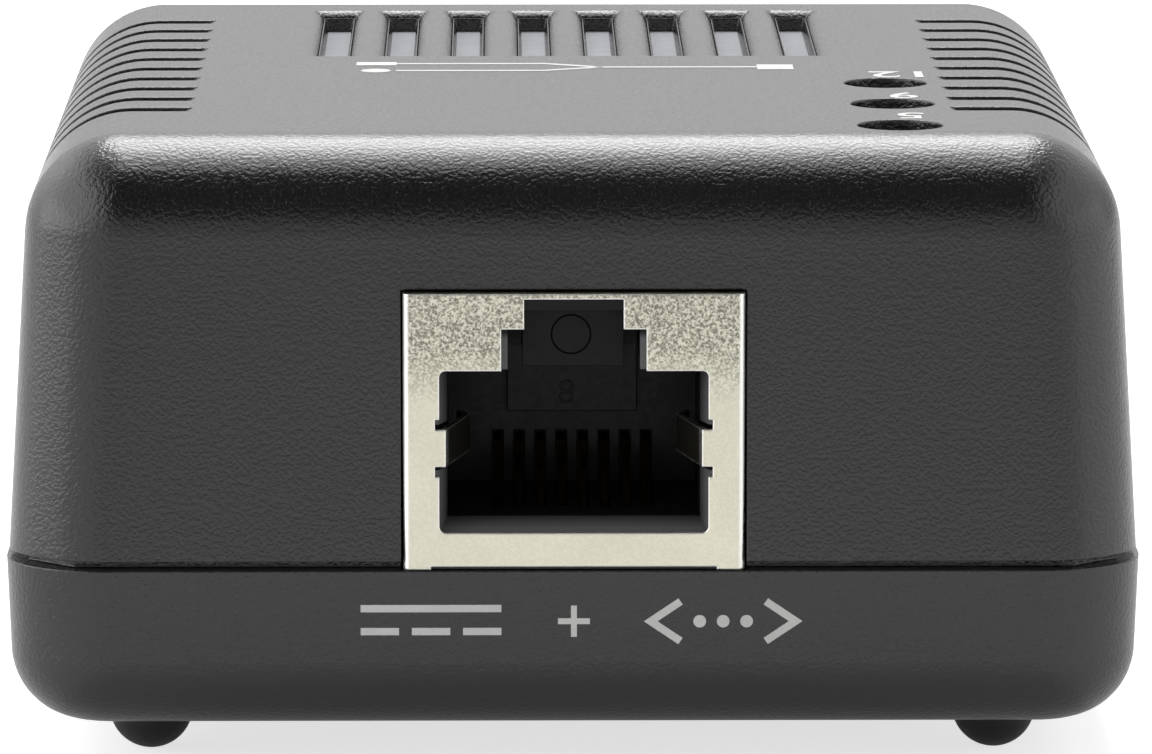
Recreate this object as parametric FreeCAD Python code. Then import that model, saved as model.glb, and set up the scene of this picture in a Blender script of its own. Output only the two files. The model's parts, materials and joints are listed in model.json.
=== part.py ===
import FreeCAD, Part

import math
import os
from FreeCAD import Vector

# A small powered-Ethernet splitter in a two-piece moulded case. Millimetres.
# X is to the right seen from the input jack, Y runs from the input side to the output side, Z is up.
# The origin is on the floor, under the middle of the case.

# Case
case_width = 53.6
case_depth = 65.2
case_top = 30.0
foot_height = 2.2
parting = 10.0
parting_gap = 0.42
rim_drop = 0.03
upper_step = 0.1
upper_draft = 3.1
lower_draft = 2.3
wall = 2.0
roof = 1.8
floor = 1.8
case_round = 4.8
lower_round = 3.5

# How far cutters reach past the faces that they open, how far joined pieces overlap,
# and how near two points are one
past = 1.0
just_past = 0.01
lap = 0.1
touching = 1e-6

# Tongue of the lower shell, inside the upper one
tongue_inset = 1.05
tongue_height = 1.7
tongue_gap = 0.1

# Grooves along both sides of the top
groove_count = 10
groove_pitch = 4.13
groove_middle = 0.335
groove_width = 1.35
groove_depth = 0.95
groove_reach = 8.6
groove_drop = 11.4
groove_fade = 2.4

# Slots in the top, over a pale liner
slot_count = 8
slot_pitch = 3.38
slot_width = 1.5
slot_length = 19.4
slot_from_rear = 18.62
slot_edge = 0.45
slot_panel = 1.05
liner_thick = 0.5
liner_margin = 1.9
liner_gap = 0.1

# Lamp windows and the lamps under them
lamp_from_side = 11.27
lamp_from_front = 8.02
lamp_gap = 8.36
lamp_count = 3
window_radius = 2.03
lens_radius = 1.5
lens_below_top = 1.4
lens_length = 5.3
lamp_lead_pitch = 2.54
spacer_width = 3.8
lamp_lead = 0.5
lamp_lead_gap = 0.1

# Self-adhesive feet under the lower shell
foot_from_side = 6.64
foot_from_end = 8.6
foot_flat = 0.35
foot_band = 0.23

# Case screws, on two sides of the board, and rests for the board across from them
screw_from_edge = 4.0
rear_screw_y = 9.0
rest_width = 3.0
screw_radius = 1.25
screw_length = 12.0
screw_head_radius = 2.4
screw_head_height = 1.6
screw_recess = 0.8
screw_gap = 0.25
thread_gap = 0.02
thread_end = 1.0
post_width = 4.2
boss_width = 6.4

# Circuit board, whose top face is at the parting plane
board_thick = 1.6
board_gap = 0.6
lead_gap = 0.1
lead_end = 1.4

# Jacks for the network cables
jack_width = 16.0
jack_height = 13.05
jack_depth = 18.5
sheet = 0.25
sheet_bend = 0.33
port_gap = 0.1
mouth_half = 6.3
mouth_low = 1.75
mouth_high = 9.42
step_half = 3.4
step_high = 11.39
notch_half = 2.33
mouth_round = 0.3
relief_half = 6.5
relief_low = 4.4
relief_high = 7.12
finger_low = 4.89
finger_high = 6.64
finger_tip = 5.0
finger_reach = 5.0
finger_root = 0.3
finger_turn = 0.2
finger_curl = (0.4, 1.2)
finger_gap = 0.2
finger_room_in = 0.5
shield_leg = 1.3
shield_lift = 0.15
board_tab = 1.2
board_tab_at = 8.0
body_gap = 0.05
cavity_half = 5.93
cavity_low = 2.3
cavity_high = 9.35
cavity_depth = 12.0
lead_in = 1.3
lead_in_over = 0.05
latch_stop = 3.0
notch_roof = 0.5
latch_half = 3.1
latch_block_half = 2.4
latch_block_at = 4.5
latch_block_low = 9.0
plate_low = 5.8
plate_proud = 0.9
plate_root = 0.5
contact_count = 8
contact_pitch = 1.016
contact_wire = 0.35
contact_slot = 0.52
contact_front = 4.9
contact_low = 0.85
contact_high = 4.4
comb_high = 4.75
comb_depth = 0.9
contact_bend = (0.1, 0.9)
contact_leg = 14.5
contact_row = 2.0

# Direct-current output jack
power_width = 9.0
power_height = 11.0
power_depth = 14.0
power_axis = 6.5
power_flange = 3.5
power_corner = 1.0
power_barrel = 4.1
power_bore = 3.2
power_bore_depth = 10.0
power_pin = 1.05
power_pin_root = 0.85
power_pin_set_back = 1.2
power_strip = 0.3
power_strip_width = 2.0
power_strip_gap = 0.2
power_strip_from = 3.6
power_strip_leg = 0.6
power_strip_rise = 1.0
power_strip_crown = (7.0, 0.4)
power_strip_tip = (4.1, -0.8)
power_blade_up = 1.4
power_blade_down = 2.0

# Voltage selector, a slide switch with three places
selector_width = 12.7
selector_height = 5.0
selector_depth = 5.3
selector_set_back = 6.7
selector_sheet = 0.3
selector_lift = 0.1
selector_travel = 2.0
selector_gap = 0.12
peg_set_in = 0.6
peg_half = 0.5
knob_width = 3.0
knob_height = 2.2
knob_set_back = 0.2
knob_margin = 0.4
rib_half = 0.3
rib_cut = 0.35
shoe_width = 5.6
base_thick = 1.8
base_set_in = 0.3
base_tail = 0.6
selector_terminal_count = 4
selector_terminal_pitch = 2.0
selector_terminal_width = 0.5
selector_terminal_thick = 0.3
selector_terminal_up = 1.1
selector_terminal_back = 0.85
selector_terminal_gap = 0.05
wiper = 0.2
wiper_half = 0.7
wiper_set_in = 0.4

# Gaps in the rear wall, from the left: before, between and after the two jacks and the selector
rear_gaps = (3.7, 1.5, 2.65, 3.85)

# Room between the network jacks, and half width of the board, for which the board is laid out
layout_room = 28.0
layout_half = 24.2

# Transformer
transformer_place = (-1.0, 1.0)
core_width = 16.0
core_length = 14.0
core_thick = 5.0
core_leg = 4.1
core_side = 2.2
core_back = 2.0
core_lift = 3.7
bobbin_wall = 0.7
bobbin_gap = 0.1
bobbin_flange = 0.75
rail_set_in = 0.6
winding_thick = 2.3
winding_corner = 0.4
pin_width = 0.6
pin_cover = 0.8
pin_count = 4
pin_pitch = 3.75

# Smaller parts between the jacks: places and sizes
magnetics_place = (-16.5, -1.5)
magnetics_size = (8.6, 13.5, 5.6)
magnetics_pitch = 1.9
magnetics_lead_count = 6
magnetics_lead_width = 0.5
coupler_place = (20.4, -1.5)
coupler_size = (4.6, 6.5, 3.5)
coupler_pitch = 2.54
coupler_lead_count = 2
coupler_lead_width = 0.5
chip_lift = 0.12
chip_draft = 0.06
gull_thick = 0.2
gull_foot = 0.9
gull_knee = 0.5
transistor_place = (-12.6, 10.0)
transistor_size = (6.5, 4.6, 2.3)
transistor_tab = 1.0
transistor_lead = 0.5
transistor_reach = 1.6
transistor_bend = (0.35, 0.55)
transistor_tab_share = 0.8
transistor_lead_share = 0.7
transistor_lead_half = 0.4
input_capacitor_place = (12.4, -1.0)
output_capacitor_place = (12.4, 10.2)
capacitor_radius = 4.0
input_capacitor_headroom = 5.95
output_capacitor_headroom = 4.45
capacitor_lead_pitch = 3.5
film_place = (-1.0, -10.0)
film_size = (10.0, 4.5, 9.0)
film_lead_pitch = 7.5
film_bevel = 0.1
component_lead = 0.6
inductor_place = (1.0, 13.4)
inductor_size = (7.0, 7.4, 4.5)
inductor_chamfer = 1.0
clip_width = 2.2
clip_foot = 1.0
chip_size = (1.6, 0.8, 0.6)
middle_chips = ((-7.6, -10.0), (5.0, -10.0), (20.4, 9.0))

# Smaller parts beside the input jack: how far out from its side and back from its face
controller_place = (12.0, 10.5)
controller_size = (3.9, 4.9, 1.5)
controller_pitch = 1.27
controller_lead_count = 4
controller_lead_width = 0.4
rectifier_places = ((4.6, 13.5), (4.6, 6.5))
rectifier_size = (3.8, 4.7, 2.4)
rectifier_pitch = 2.5
rectifier_lead_count = 2
rectifier_lead_width = 0.6
left_chips = ((9.5, 5.0), (12.5, 5.0), (9.5, 16.0), (12.5, 16.0))

# Diode beside the selector: out from the middle and forward from the output face
diode_place = (20.4, 15.9)
diode_size = (4.4, 3.6, 2.3)

# Worked out from the sizes above
case_bottom = foot_height
floor_top = case_bottom + floor
roof_under = case_top - roof
upper_rim = parting - rim_drop + parting_gap
lower_rim = parting - rim_drop
face = case_depth / 2 - upper_step
board_low = parting - board_thick
lead_low = board_low - lead_end
leg_end = -board_thick - lead_end
board_half_x = case_width / 2 - wall - board_gap
board_half_y = case_depth / 2 - wall - board_gap
inner_half = case_width / 2 - upper_step - wall
along = (2 * face - 2 * jack_depth) / layout_room
across = board_half_x / layout_half
beside = (board_half_x - jack_width / 2) / (layout_half - jack_width / 2)
rear_share = (2 * inner_half - jack_width - power_width - selector_width) / sum(rear_gaps)
output_jack_x = rear_gaps[0] * rear_share + jack_width / 2 - inner_half
power_x = output_jack_x + jack_width / 2 + rear_gaps[1] * rear_share + power_width / 2
selector_x = power_x + power_width / 2 + rear_gaps[2] * rear_share + selector_width / 2
foot_x = case_width / 2 - foot_from_side
foot_y = case_depth / 2 - foot_from_end
foot_middle = foot_height - foot_band
foot_radius = math.hypot(foot_middle, foot_flat)
groove_first = groove_middle - groove_pitch * (groove_count - 1) / 2
groove_inner = case_width / 2 - groove_reach
groove_foot = case_top - groove_drop
slot_middle = case_depth / 2 - slot_from_rear
lamp_pitch = lamp_gap * along
lamp_x = case_width / 2 - lamp_from_side
lamp_places = [(lamp_x, lamp_from_front - case_depth / 2 + lamp_pitch * i) for i in range(lamp_count)]
screw_x = board_half_x - screw_from_edge
front_screw_y = lamp_places[-1][1] - lamp_pitch / 2
screw_places = ((screw_x, front_screw_y), (-screw_x, rear_screw_y * along))
rest_places = [(-x, y) for x, y in screw_places]
liner_under = case_top - slot_panel - liner_thick
slot_xs = [slot_pitch * (i - (slot_count - 1) / 2) for i in range(slot_count)]
contact_xs = [contact_pitch * (i - (contact_count - 1) / 2) for i in range(contact_count)]
selector_terminal_xs = [selector_terminal_pitch * (i - (selector_terminal_count - 1) / 2)
                        for i in range(selector_terminal_count)]


def between_jacks(place):
    """Place of a part on the board between the network jacks."""
    return place[0] * across, place[1] * along


def by_input(place, side=-1):
    """Place of a part on the board beside the input jack."""
    return side * (jack_width / 2 + place[0] * beside), place[1] - face


def shrunk(size, wide, deep):
    """Size of a part's body, as wide and deep as its room allows."""
    return size[0] * wide, size[1] * deep, size[2]


def box(x0, x1, y0, y1, z0, z1):
    """Rectangular block between two corners."""
    return Part.makeBox(x1 - x0, y1 - y0, z1 - z0, Vector(x0, y0, z0))


def rod(radius, x, y, z0, z1):
    """Upright cylinder."""
    return Part.makeCylinder(radius, z1 - z0, Vector(x, y, z0))


def post(width, x, y, z0, z1):
    """Upright square post."""
    half = width / 2
    return box(x - half, x + half, y - half, y + half, z0, z1)


# Planes: the point at (a, b) in each, c out of it


def in_xy(a, b, c):
    return Vector(a, b, c)


def in_xz(a, b, c):
    return Vector(a, c, b)


def in_yz(a, b, c):
    return Vector(c, a, b)


def outline(points, radius=0.0, plane=in_xy, at=0.0):
    """Closed wire through points in a plane, with each corner rounded."""
    count = len(points)
    radii = radius if isinstance(radius, list) else [radius] * count
    flat = [Vector(p[0], p[1], 0) for p in points]
    corners = []
    for i, corner in enumerate(flat):
        if radii[i] <= 0:
            corners.append((corner, None, corner))
            continue
        before = (flat[i - 1] - corner).normalize()
        after = (flat[(i + 1) % count] - corner).normalize()
        half = before.getAngle(after) / 2
        reach = radii[i] / math.tan(half)
        middle = (before + after).normalize()
        nearest = corner + middle * (radii[i] / math.sin(half) - radii[i])
        corners.append((corner + before * reach, nearest, corner + after * reach))

    def place(point):
        return plane(point.x, point.y, at)

    edges = []
    for i, (start, nearest, end) in enumerate(corners):
        previous = corners[i - 1][2]
        if previous.distanceToPoint(start) > touching:
            edges.append(Part.makeLine(place(previous), place(start)))
        if nearest is not None:
            edges.append(Part.Arc(place(start), place(nearest), place(end)).toShape())
    return Part.Wire(edges)


def rectangle(half_x, half_y):
    return [(-half_x, -half_y), (half_x, -half_y), (half_x, half_y), (-half_x, half_y)]


def prism(points, start, end, radius=0.0, plane=in_xy):
    """Outline in a plane, carried along that plane's normal from start to end."""
    base = Part.Face(outline(points, radius, plane, start))
    return base.extrude(plane(0, 0, end) - plane(0, 0, start))


def turned(points, x, y):
    """Solid turned about an upright axis, from (radius, height) points."""
    wire = Part.makePolygon([Vector(r, 0, z) for r, z in points + points[:1]])
    solid = Part.Face(wire).revolve(Vector(0, 0, 0), Vector(0, 0, 1), 360)
    solid.translate(Vector(x, y, 0))
    return solid


def strip(points, thick):
    """Outline of a bent strip of even thickness, from the points of its middle line."""
    line = [Vector(a, b, 0) for a, b in points]
    sides = []
    for i, point in enumerate(line):
        normals = []
        for a, b in ((i - 1, i), (i, i + 1)):
            if 0 <= a and b < len(line):
                along = (line[b] - line[a]).normalize()
                normals.append(Vector(-along.y, along.x, 0))
        mitre = sum(normals[1:], normals[0]).normalize()
        offset = mitre * (thick / 2 / mitre.dot(normals[0]))
        sides.append((point + offset, point - offset))
    ring = [a for a, b in sides] + [b for a, b in reversed(sides)]
    return [(p.x, p.y) for p in ring]


def moved(shape, x=0.0, y=0.0, z=0.0):
    copy = shape.copy()
    copy.translate(Vector(x, y, z))
    return copy


def turned_round(shape):
    """The same piece facing the other end of the case."""
    copy = shape.copy()
    copy.rotate(Vector(0, 0, 0), Vector(0, 0, 1), 180)
    return copy


def fused(shapes):
    return shapes[0].fuse(shapes[1:]).removeSplitter() if len(shapes) > 1 else shapes[0]


# Case shells


def upper_half(z, inset):
    """Half width and half depth of the upper shell's side at a height."""
    lean = (z - parting) * math.tan(math.radians(upper_draft)) + upper_step + inset
    return case_width / 2 - lean, case_depth / 2 - lean


def lower_half(z, inset):
    """Half width and half depth of the lower shell's side at a height."""
    lean = (parting - z) * math.tan(math.radians(lower_draft)) + inset
    return case_width / 2 - lean, case_depth / 2 - lean


def upright_edges(solid):
    return [e for e in solid.Edges if abs(e.Vertexes[0].Z - e.Vertexes[-1].Z) > 0.5]


def block(half_at, inset, z0, z1):
    """Block with flat sides on the draft of a shell, between two heights."""
    x0, y0 = half_at(z0, inset)
    x1, y1 = half_at(z1, inset)
    wedge = Part.makeWedge(-x0, z0, -y0, -y1, -x1, x0, z1, y0, y1, x1)
    wedge.rotate(Vector(0, 0, 0), Vector(1, 0, 0), 90)
    return wedge


def outer_block(half_at, closed, rim, radius):
    """Outside of a shell: round upright edges, and a radius along the edges of its closed end."""
    solid = block(half_at, 0, min(closed, rim), max(closed, rim))
    solid = solid.makeFillet(case_round, upright_edges(solid))
    end = [e for e in solid.Edges if all(abs(v.Z - closed) < touching for v in e.Vertexes)]
    return solid.makeFillet(radius, end)


def corner_cut(inset):
    """Flat that stands in for the case's corner radius at an inset, with the same middle."""
    return (case_round - inset) * (2 - math.sqrt(2))


def hollow_block(half_at, closed, rim):
    """Inside of a shell: a wall within the outside, with flats where that is round."""
    solid = block(half_at, wall, min(closed, rim), max(closed, rim))
    edges = [e for e in solid.Edges if any(abs(v.Z - closed) < touching for v in e.Vertexes)]
    return solid.makeChamfer(corner_cut(wall), edges)


def side_line(z, depth):
    """X of the upper shell's right side at a height, at a depth under its surface."""
    return upper_half(z, 0)[0] - depth / math.cos(math.radians(upper_draft))


def groove_cutter():
    """One groove on the right: a taper in the top, round the edge and a taper down the side."""
    lean = math.radians(upper_draft)
    centre_z = case_top - case_round
    centre_x = side_line(centre_z, case_round)
    floor_round = case_round - groove_depth

    def spot(angle):
        return Vector(centre_x + floor_round * math.cos(angle), 0, centre_z + floor_round * math.sin(angle))

    fade_top = groove_foot + groove_fade
    outside = case_width / 2 + past
    above = case_top + past
    top = spot(math.pi / 2)
    side = spot(lean)
    low = Vector(side_line(fade_top, groove_depth), 0, fade_top)
    foot = Vector(side_line(groove_foot, 0), 0, groove_foot)
    start = Vector(groove_inner, 0, case_top)
    arc = Part.Arc(top, spot((math.pi / 2 + lean) / 2), side).toShape()
    points = [side, low, foot, Vector(outside, 0, groove_foot), Vector(outside, 0, above),
              Vector(groove_inner, 0, above), start, top]
    lines = [Part.makeLine(a, b) for a, b in zip(points, points[1:])]
    section = Part.Face(Part.Wire([arc] + lines))
    section.translate(Vector(0, -groove_width / 2, 0))
    return section.extrude(Vector(0, groove_width, 0))


def grooves():
    right = groove_cutter()
    left = turned_round(right)
    places = [groove_first + groove_pitch * i for i in range(groove_count)]
    return [moved(side, y=y) for y in places for side in (right, left)]


def slots():
    """Long slots through the top, with chamfered mouths."""
    half_y = slot_length / 2
    half_x = slot_width / 2
    low = case_top - slot_edge
    over = slot_edge * 2
    y0 = slot_middle - half_y
    y1 = slot_middle + half_y
    cutters = []
    for x in slot_xs:
        cutters.append(box(x - half_x, x + half_x, y0, y1, roof_under - past, case_top + past))
        mouth = Part.makeWedge(-half_x, low, -half_y, -half_y - over, -half_x - over,
                               half_x, low + over, half_y, half_y + over, half_x + over)
        mouth.rotate(Vector(0, 0, 0), Vector(1, 0, 0), 90)
        cutters.append(moved(mouth, x, slot_middle))
    return cutters


def liner_half():
    return slot_xs[-1] + slot_width / 2 + liner_margin, slot_length / 2 + liner_margin


def ports(low):
    """Openings for the two network jacks, the power jack and the selector, open to the parting."""
    half = jack_width / 2 + port_gap
    inner = face - wall - past
    outer = face + past
    high = parting + jack_height + port_gap
    power = power_width / 2 + port_gap
    knob = knob_width / 2 + selector_travel + knob_margin
    knob_high = parting + selector_lift + selector_height / 2 + knob_height / 2 + knob_margin
    return [
        box(-half, half, -outer, -inner, low, high),
        box(output_jack_x - half, output_jack_x + half, inner, outer, low, high),
        box(power_x - power, power_x + power, inner, outer, low, parting + power_height + port_gap),
        box(selector_x - knob, selector_x + knob, inner, outer, low, knob_high),
    ]


def inner_block(half, inset, z0, z1):
    """Upright block inside the shells, with cut corners."""
    x, y = half
    solid = box(-x, x, -y, y, z0, z1)
    return solid.makeChamfer(corner_cut(inset), upright_edges(solid))


def top_shell():
    outer = outer_block(upper_half, case_top, upper_rim, case_round)
    hollow = hollow_block(upper_half, roof_under, upper_rim - past)
    room = tongue_inset - tongue_gap
    rebate_high = parting + tongue_height + tongue_gap
    rebate = inner_block(upper_half(parting, room), room, upper_rim - past, rebate_high)
    half_x, half_y = liner_half()
    pocket = box(-half_x - liner_gap, half_x + liner_gap, slot_middle - half_y - liner_gap,
                 slot_middle + half_y + liner_gap, roof_under - past, case_top - slot_panel)
    shell = outer.cut([hollow, rebate, pocket])
    posts = [post(post_width, x, y, parting, roof_under + roof / 2) for x, y in screw_places]
    depth = case_bottom + screw_recess + screw_head_height + screw_length + thread_end
    holes = [rod(screw_radius + thread_gap, x, y, parting - past, depth) for x, y in screw_places]
    windows = [rod(window_radius, x, y, roof_under - past, case_top + past) for x, y in lamp_places]
    shell = shell.fuse(posts).cut(slots() + holes + windows + ports(parting - past) + grooves())
    return shell.removeSplitter()


def bottom_shell():
    outer = outer_block(lower_half, case_bottom, lower_rim, lower_round)
    hollow = hollow_block(lower_half, floor_top, lower_rim + past)
    tongue = inner_block(upper_half(parting, tongue_inset), tongue_inset, lower_rim - past,
                         parting + tongue_height)
    inner = inner_block(lower_half(parting, wall), wall, floor_top + past, parting + tongue_height + past)
    ring = tongue.cut([inner] + ports(lower_rim))
    shell = outer.cut(hollow).fuse(ring)
    inside = floor_top - floor / 2
    bosses = [post(boss_width, x, y, inside, board_low) for x, y in screw_places]
    rests = [post(rest_width, x, y, inside, board_low) for x, y in rest_places]
    seat = case_bottom + screw_recess + screw_head_height
    cuts = [rod(screw_head_radius + screw_gap, x, y, case_bottom - past, seat) for x, y in screw_places]
    cuts += [rod(screw_radius + screw_gap, x, y, seat - past, board_low + past) for x, y in screw_places]
    return shell.fuse(bosses + rests).cut(cuts).removeSplitter()


def foot(x, y):
    """Rubber foot: half a ball with a small flat, on a short band stuck to the case."""
    radius = foot_radius
    ball = Part.makeSphere(radius, Vector(x, y, foot_middle))
    half = ball.common(box(x - radius, x + radius, y - radius, y + radius, 0, foot_middle))
    return fused([half, rod(radius, x, y, foot_middle, foot_height)])


def case_screw(x, y):
    """Cheese-head screw from below."""
    low = case_bottom + screw_recess
    seat = low + screw_head_height
    tip = seat + screw_length
    return turned([(0, low), (screw_head_radius, low), (screw_head_radius, seat), (screw_radius, seat),
                   (screw_radius, tip), (0, tip)], x, y)


def vent_liner():
    half_x, half_y = liner_half()
    high = case_top - slot_panel
    return box(-half_x, half_x, slot_middle - half_y, slot_middle + half_y, high - liner_thick, high)


# Network jacks, drawn with their face at Y = 0, their depth along +Y and the board at Z = 0


def mouth():
    """Outline of the opening in the shield's face, up to the sheet on top."""
    right = [(mouth_half, mouth_low), (mouth_half, relief_low), (relief_half, relief_low),
             (relief_half, relief_high), (mouth_half, relief_high), (mouth_half, mouth_high),
             (step_half, mouth_high), (step_half, step_high), (notch_half, step_high),
             (notch_half, jack_height - sheet)]
    radii = [mouth_round, 0, 0, 0, 0, mouth_round, 0, 0, 0, 0]
    left = [(-x, z) for x, z in reversed(right)]
    return right + left, radii + radii[::-1]


def finger(side):
    """Ground finger, folded back from the edge of the mouth."""
    out, back = finger_curl
    line = [(mouth_half + finger_root, sheet / 2), (mouth_half - finger_turn, sheet / 2),
            (finger_tip, finger_reach), (finger_tip + out, finger_reach + back)]
    line = [(side * x, y) for x, y in line]
    return prism(strip(line, sheet), finger_low, finger_high)


def jack_shield():
    half = jack_width / 2
    outer = box(-half, half, 0, jack_depth, 0, jack_height)
    folds = [e for e in outer.Edges if e.BoundBox.YMax < touching and e.BoundBox.ZLength > half]
    outer = outer.makeFillet(sheet_bend, folds)
    hollow = box(sheet - half, half - sheet, sheet, jack_depth - sheet, -past, jack_height - sheet)
    points, radii = mouth()
    opening = prism(points, -past, sheet + just_past, radii, in_xz)
    leg = half - shield_leg
    foot_gap = prism([(-leg, -past), (leg, -past), (leg, shield_lift), (-leg, shield_lift)], -past,
                     sheet + just_past, 0.0, in_xz)
    shell = outer.cut([hollow, opening, foot_gap])
    bridge = relief_half + finger_root
    fingers = []
    for side in (-1, 1):
        low, high = sorted((side * (mouth_half - lap), side * bridge))
        fingers.append(box(low, high, 0, sheet, finger_low, finger_high))
        fingers.append(finger(side))
        low, high = sorted((side * half, side * (half - sheet)))
        fingers.append(box(low, high, board_tab_at, board_tab_at + board_tab, leg_end, lap))
    return fused([shell] + fingers)


def jack_contact(x, row):
    """One spring wire: up from the board, forward under the floor, and back up to the comb."""
    leg = contact_leg + contact_row * row
    front = contact_front
    forward, up = contact_bend
    line = [(leg, leg_end), (leg, contact_low), (front, contact_low), (front - forward, contact_low + up),
            (cavity_depth + comb_depth / 2, contact_high)]
    return prism(strip(line, contact_wire), x - contact_wire / 2, x + contact_wire / 2, 0.0, in_yz)


def jack_contacts():
    return Part.makeCompound([jack_contact(x, i % 2) for i, x in enumerate(contact_xs)])


def contact_channel(x, row):
    """Room for one wire in the jack's body: a comb slot, a floor slot and a hole for the leg."""
    leg = contact_leg + contact_row * row
    low = contact_low - contact_slot / 2
    roof_z = contact_low + contact_slot / 2
    front = contact_front - contact_slot
    back = cavity_depth + comb_depth
    side = contact_slot / 2
    points = [(front, low), (leg - side, low), (leg - side, -past), (leg + side, -past),
              (leg + side, roof_z), (back, roof_z), (back, comb_high), (front, comb_high)]
    return prism(points, x - side, x + side, 0.0, in_yz)


def jack_body():
    """Plastic body: a cavity with a lead-in, a latch channel, a comb and a plate above it."""
    half = jack_width / 2 - sheet - body_gap
    near = sheet + body_gap
    top = jack_height - sheet - body_gap
    body = box(-half, half, near, jack_depth - sheet - body_gap, 0, top)
    wide = mouth_half + lead_in_over
    hole = [(-cavity_half, cavity_low), (cavity_half, cavity_low), (cavity_half, cavity_high),
            (-cavity_half, cavity_high)]
    cavity = prism(hole, near - past, cavity_depth, 0.0, in_xz)
    low = mouth_low - lead_in_over
    high = mouth_high + lead_in_over
    rim = outline([(-wide, low), (wide, low), (wide, high), (-wide, high)], 0.0, in_xz, near - just_past)
    entry = Part.makeLoft([rim, outline(hole, 0.0, in_xz, near + lead_in)], True, True)
    latch = box(-latch_half, latch_half, near - past, cavity_depth - latch_stop, cavity_high - past,
                step_high)
    notch = box(-notch_half, notch_half, near - past, latch_block_at + past, step_high - past,
                top - notch_roof)
    finger_room = []
    for side in (-1, 1):
        low, high = sorted((side * (cavity_half - finger_room_in), side * (relief_half + finger_gap)))
        finger_room.append(box(low, high, near - past, finger_reach + past, finger_low - finger_gap,
                               finger_high + finger_gap))
    channels = [contact_channel(x, i % 2) for i, x in enumerate(contact_xs)]
    body = body.cut([cavity, entry, latch, notch] + finger_room + channels)
    block = box(-latch_block_half, latch_block_half, latch_block_at, cavity_depth, latch_block_low, top)
    plate = box(-latch_half, latch_half, cavity_depth - plate_proud, cavity_depth + plate_root, plate_low,
                cavity_high + lap)
    return fused([body, block, plate])


def facing_front(shape):
    return moved(shape, 0, -face, parting)


def facing_rear(shape, x):
    return moved(turned_round(shape), x, face, parting)


# Power jack, drawn like the network jacks


def power_body():
    half = power_width / 2
    flange = prism([(-half, 0), (half, 0), (half, power_height), (-half, power_height)], 0, power_flange,
                   [0, 0, power_corner, power_corner], in_xz)
    middle = Vector(0, power_flange, power_axis)
    barrel = Part.makeCylinder(power_barrel, power_depth - power_flange, middle, Vector(0, 1, 0))
    base = box(-power_barrel, power_barrel, power_flange, power_depth, 0, power_axis)
    outward = Vector(0, -past, power_axis)
    bore = Part.makeCylinder(power_bore, power_bore_depth + past, outward, Vector(0, 1, 0))
    pin_hole = Part.makeCylinder(power_pin_root, power_depth, Vector(0, past, power_axis), Vector(0, 1, 0))
    room_half = power_strip_width / 2 + power_strip_gap
    room = box(-room_half, room_half, power_strip_from, power_bore_depth + past, -past,
               power_axis - power_bore + past)
    solid = fused([flange, barrel, base])
    return solid.cut([bore, pin_hole, room])


def power_pin_solid():
    """Centre pin, with a slimmer root held in the back wall of the jack."""
    shoulder = power_bore_depth - power_pin_set_back
    end = power_depth - power_pin_set_back
    points = [(0, 0), (power_pin, 0), (power_pin, shoulder), (power_pin_root, shoulder),
              (power_pin_root, end), (0, end)]
    solid = turned(points, 0, 0)
    solid.rotate(Vector(0, 0, 0), Vector(1, 0, 0), -90)
    solid.translate(Vector(0, power_pin_set_back, power_axis))
    return solid


def power_spring():
    """Strip that presses on the outside of the plug."""
    low = power_axis - power_bore
    leg = power_bore_depth + power_strip_leg
    line = [(leg, leg_end), (leg, low - power_strip_rise)]
    line += [(y, low + z) for y, z in (power_strip_crown, power_strip_tip)]
    half = power_strip_width / 2
    return prism(strip(line, power_strip), -half, half, 0.0, in_yz)


def power_terminals():
    """Blade at the back of the centre pin, and a blade on the side of the body."""
    half = power_strip_width / 2
    middle = power_depth / 2
    back = box(-half, half, power_depth, power_depth + power_strip, leg_end, power_axis + power_blade_up)
    side = box(power_barrel, power_barrel + power_strip, middle - half, middle + half, leg_end,
               power_axis - power_blade_down)
    return Part.makeCompound([back, side])


# Selector, drawn with its plate's outer face at Y = 0 and its depth along +Y


def knob_middle():
    return selector_lift + selector_height / 2


def selector_frame():
    """Folded sheet: a plate with a window for the knob, and flaps over and under the base."""
    half = selector_width / 2
    low = selector_lift
    high = low + selector_height
    outer = box(-half, half, 0, selector_depth, low, high)
    inner = box(-half - past, half + past, selector_sheet, selector_depth + past, low + selector_sheet,
                high - selector_sheet)
    half_x = knob_width / 2 + selector_travel + selector_gap * 2
    half_z = knob_height / 2 + selector_gap
    middle = knob_middle()
    window = box(-half_x, half_x, -past, selector_sheet + past, middle - half_z, middle + half_z)
    frame = outer.cut([inner, window])
    pegs = []
    for side in (-1, 1):
        x = side * (half - peg_set_in)
        pegs.append(box(x - peg_half, x + peg_half, 0, selector_sheet, leg_end, low + lap))
    return fused([frame] + pegs)


def selector_base():
    """Plastic plate behind the knob, with feet on the board between the terminals."""
    half = selector_width / 2 - base_set_in
    low = selector_lift + selector_sheet
    high = low + selector_height - 2 * selector_sheet
    plate = box(-half, half, selector_depth - base_thick, selector_depth, low, high)
    tail = box(-half, half, selector_depth, selector_depth + base_tail, 0, high)
    half_x = selector_terminal_width / 2 + selector_terminal_gap
    half_z = selector_terminal_thick / 2 + selector_terminal_gap
    middle = low + selector_terminal_up
    cuts = [box(x - half_x, x + half_x, 0, selector_depth + past, middle - half_z, middle + half_z)
            for x in selector_terminal_xs]
    return fused([plate, tail]).cut(cuts)


def selector_terminal_set():
    """Terminals: each lies in the base's face and bends down behind it to the board."""
    low = selector_lift + selector_sheet + selector_terminal_up
    start = selector_depth - base_thick
    back = selector_depth + selector_terminal_back
    line = [(start, low), (back, low), (back, leg_end)]
    points = strip(line, selector_terminal_thick)
    half = selector_terminal_width / 2
    return Part.makeCompound([prism(points, x - half, x + half, 0.0, in_yz) for x in selector_terminal_xs])


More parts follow.
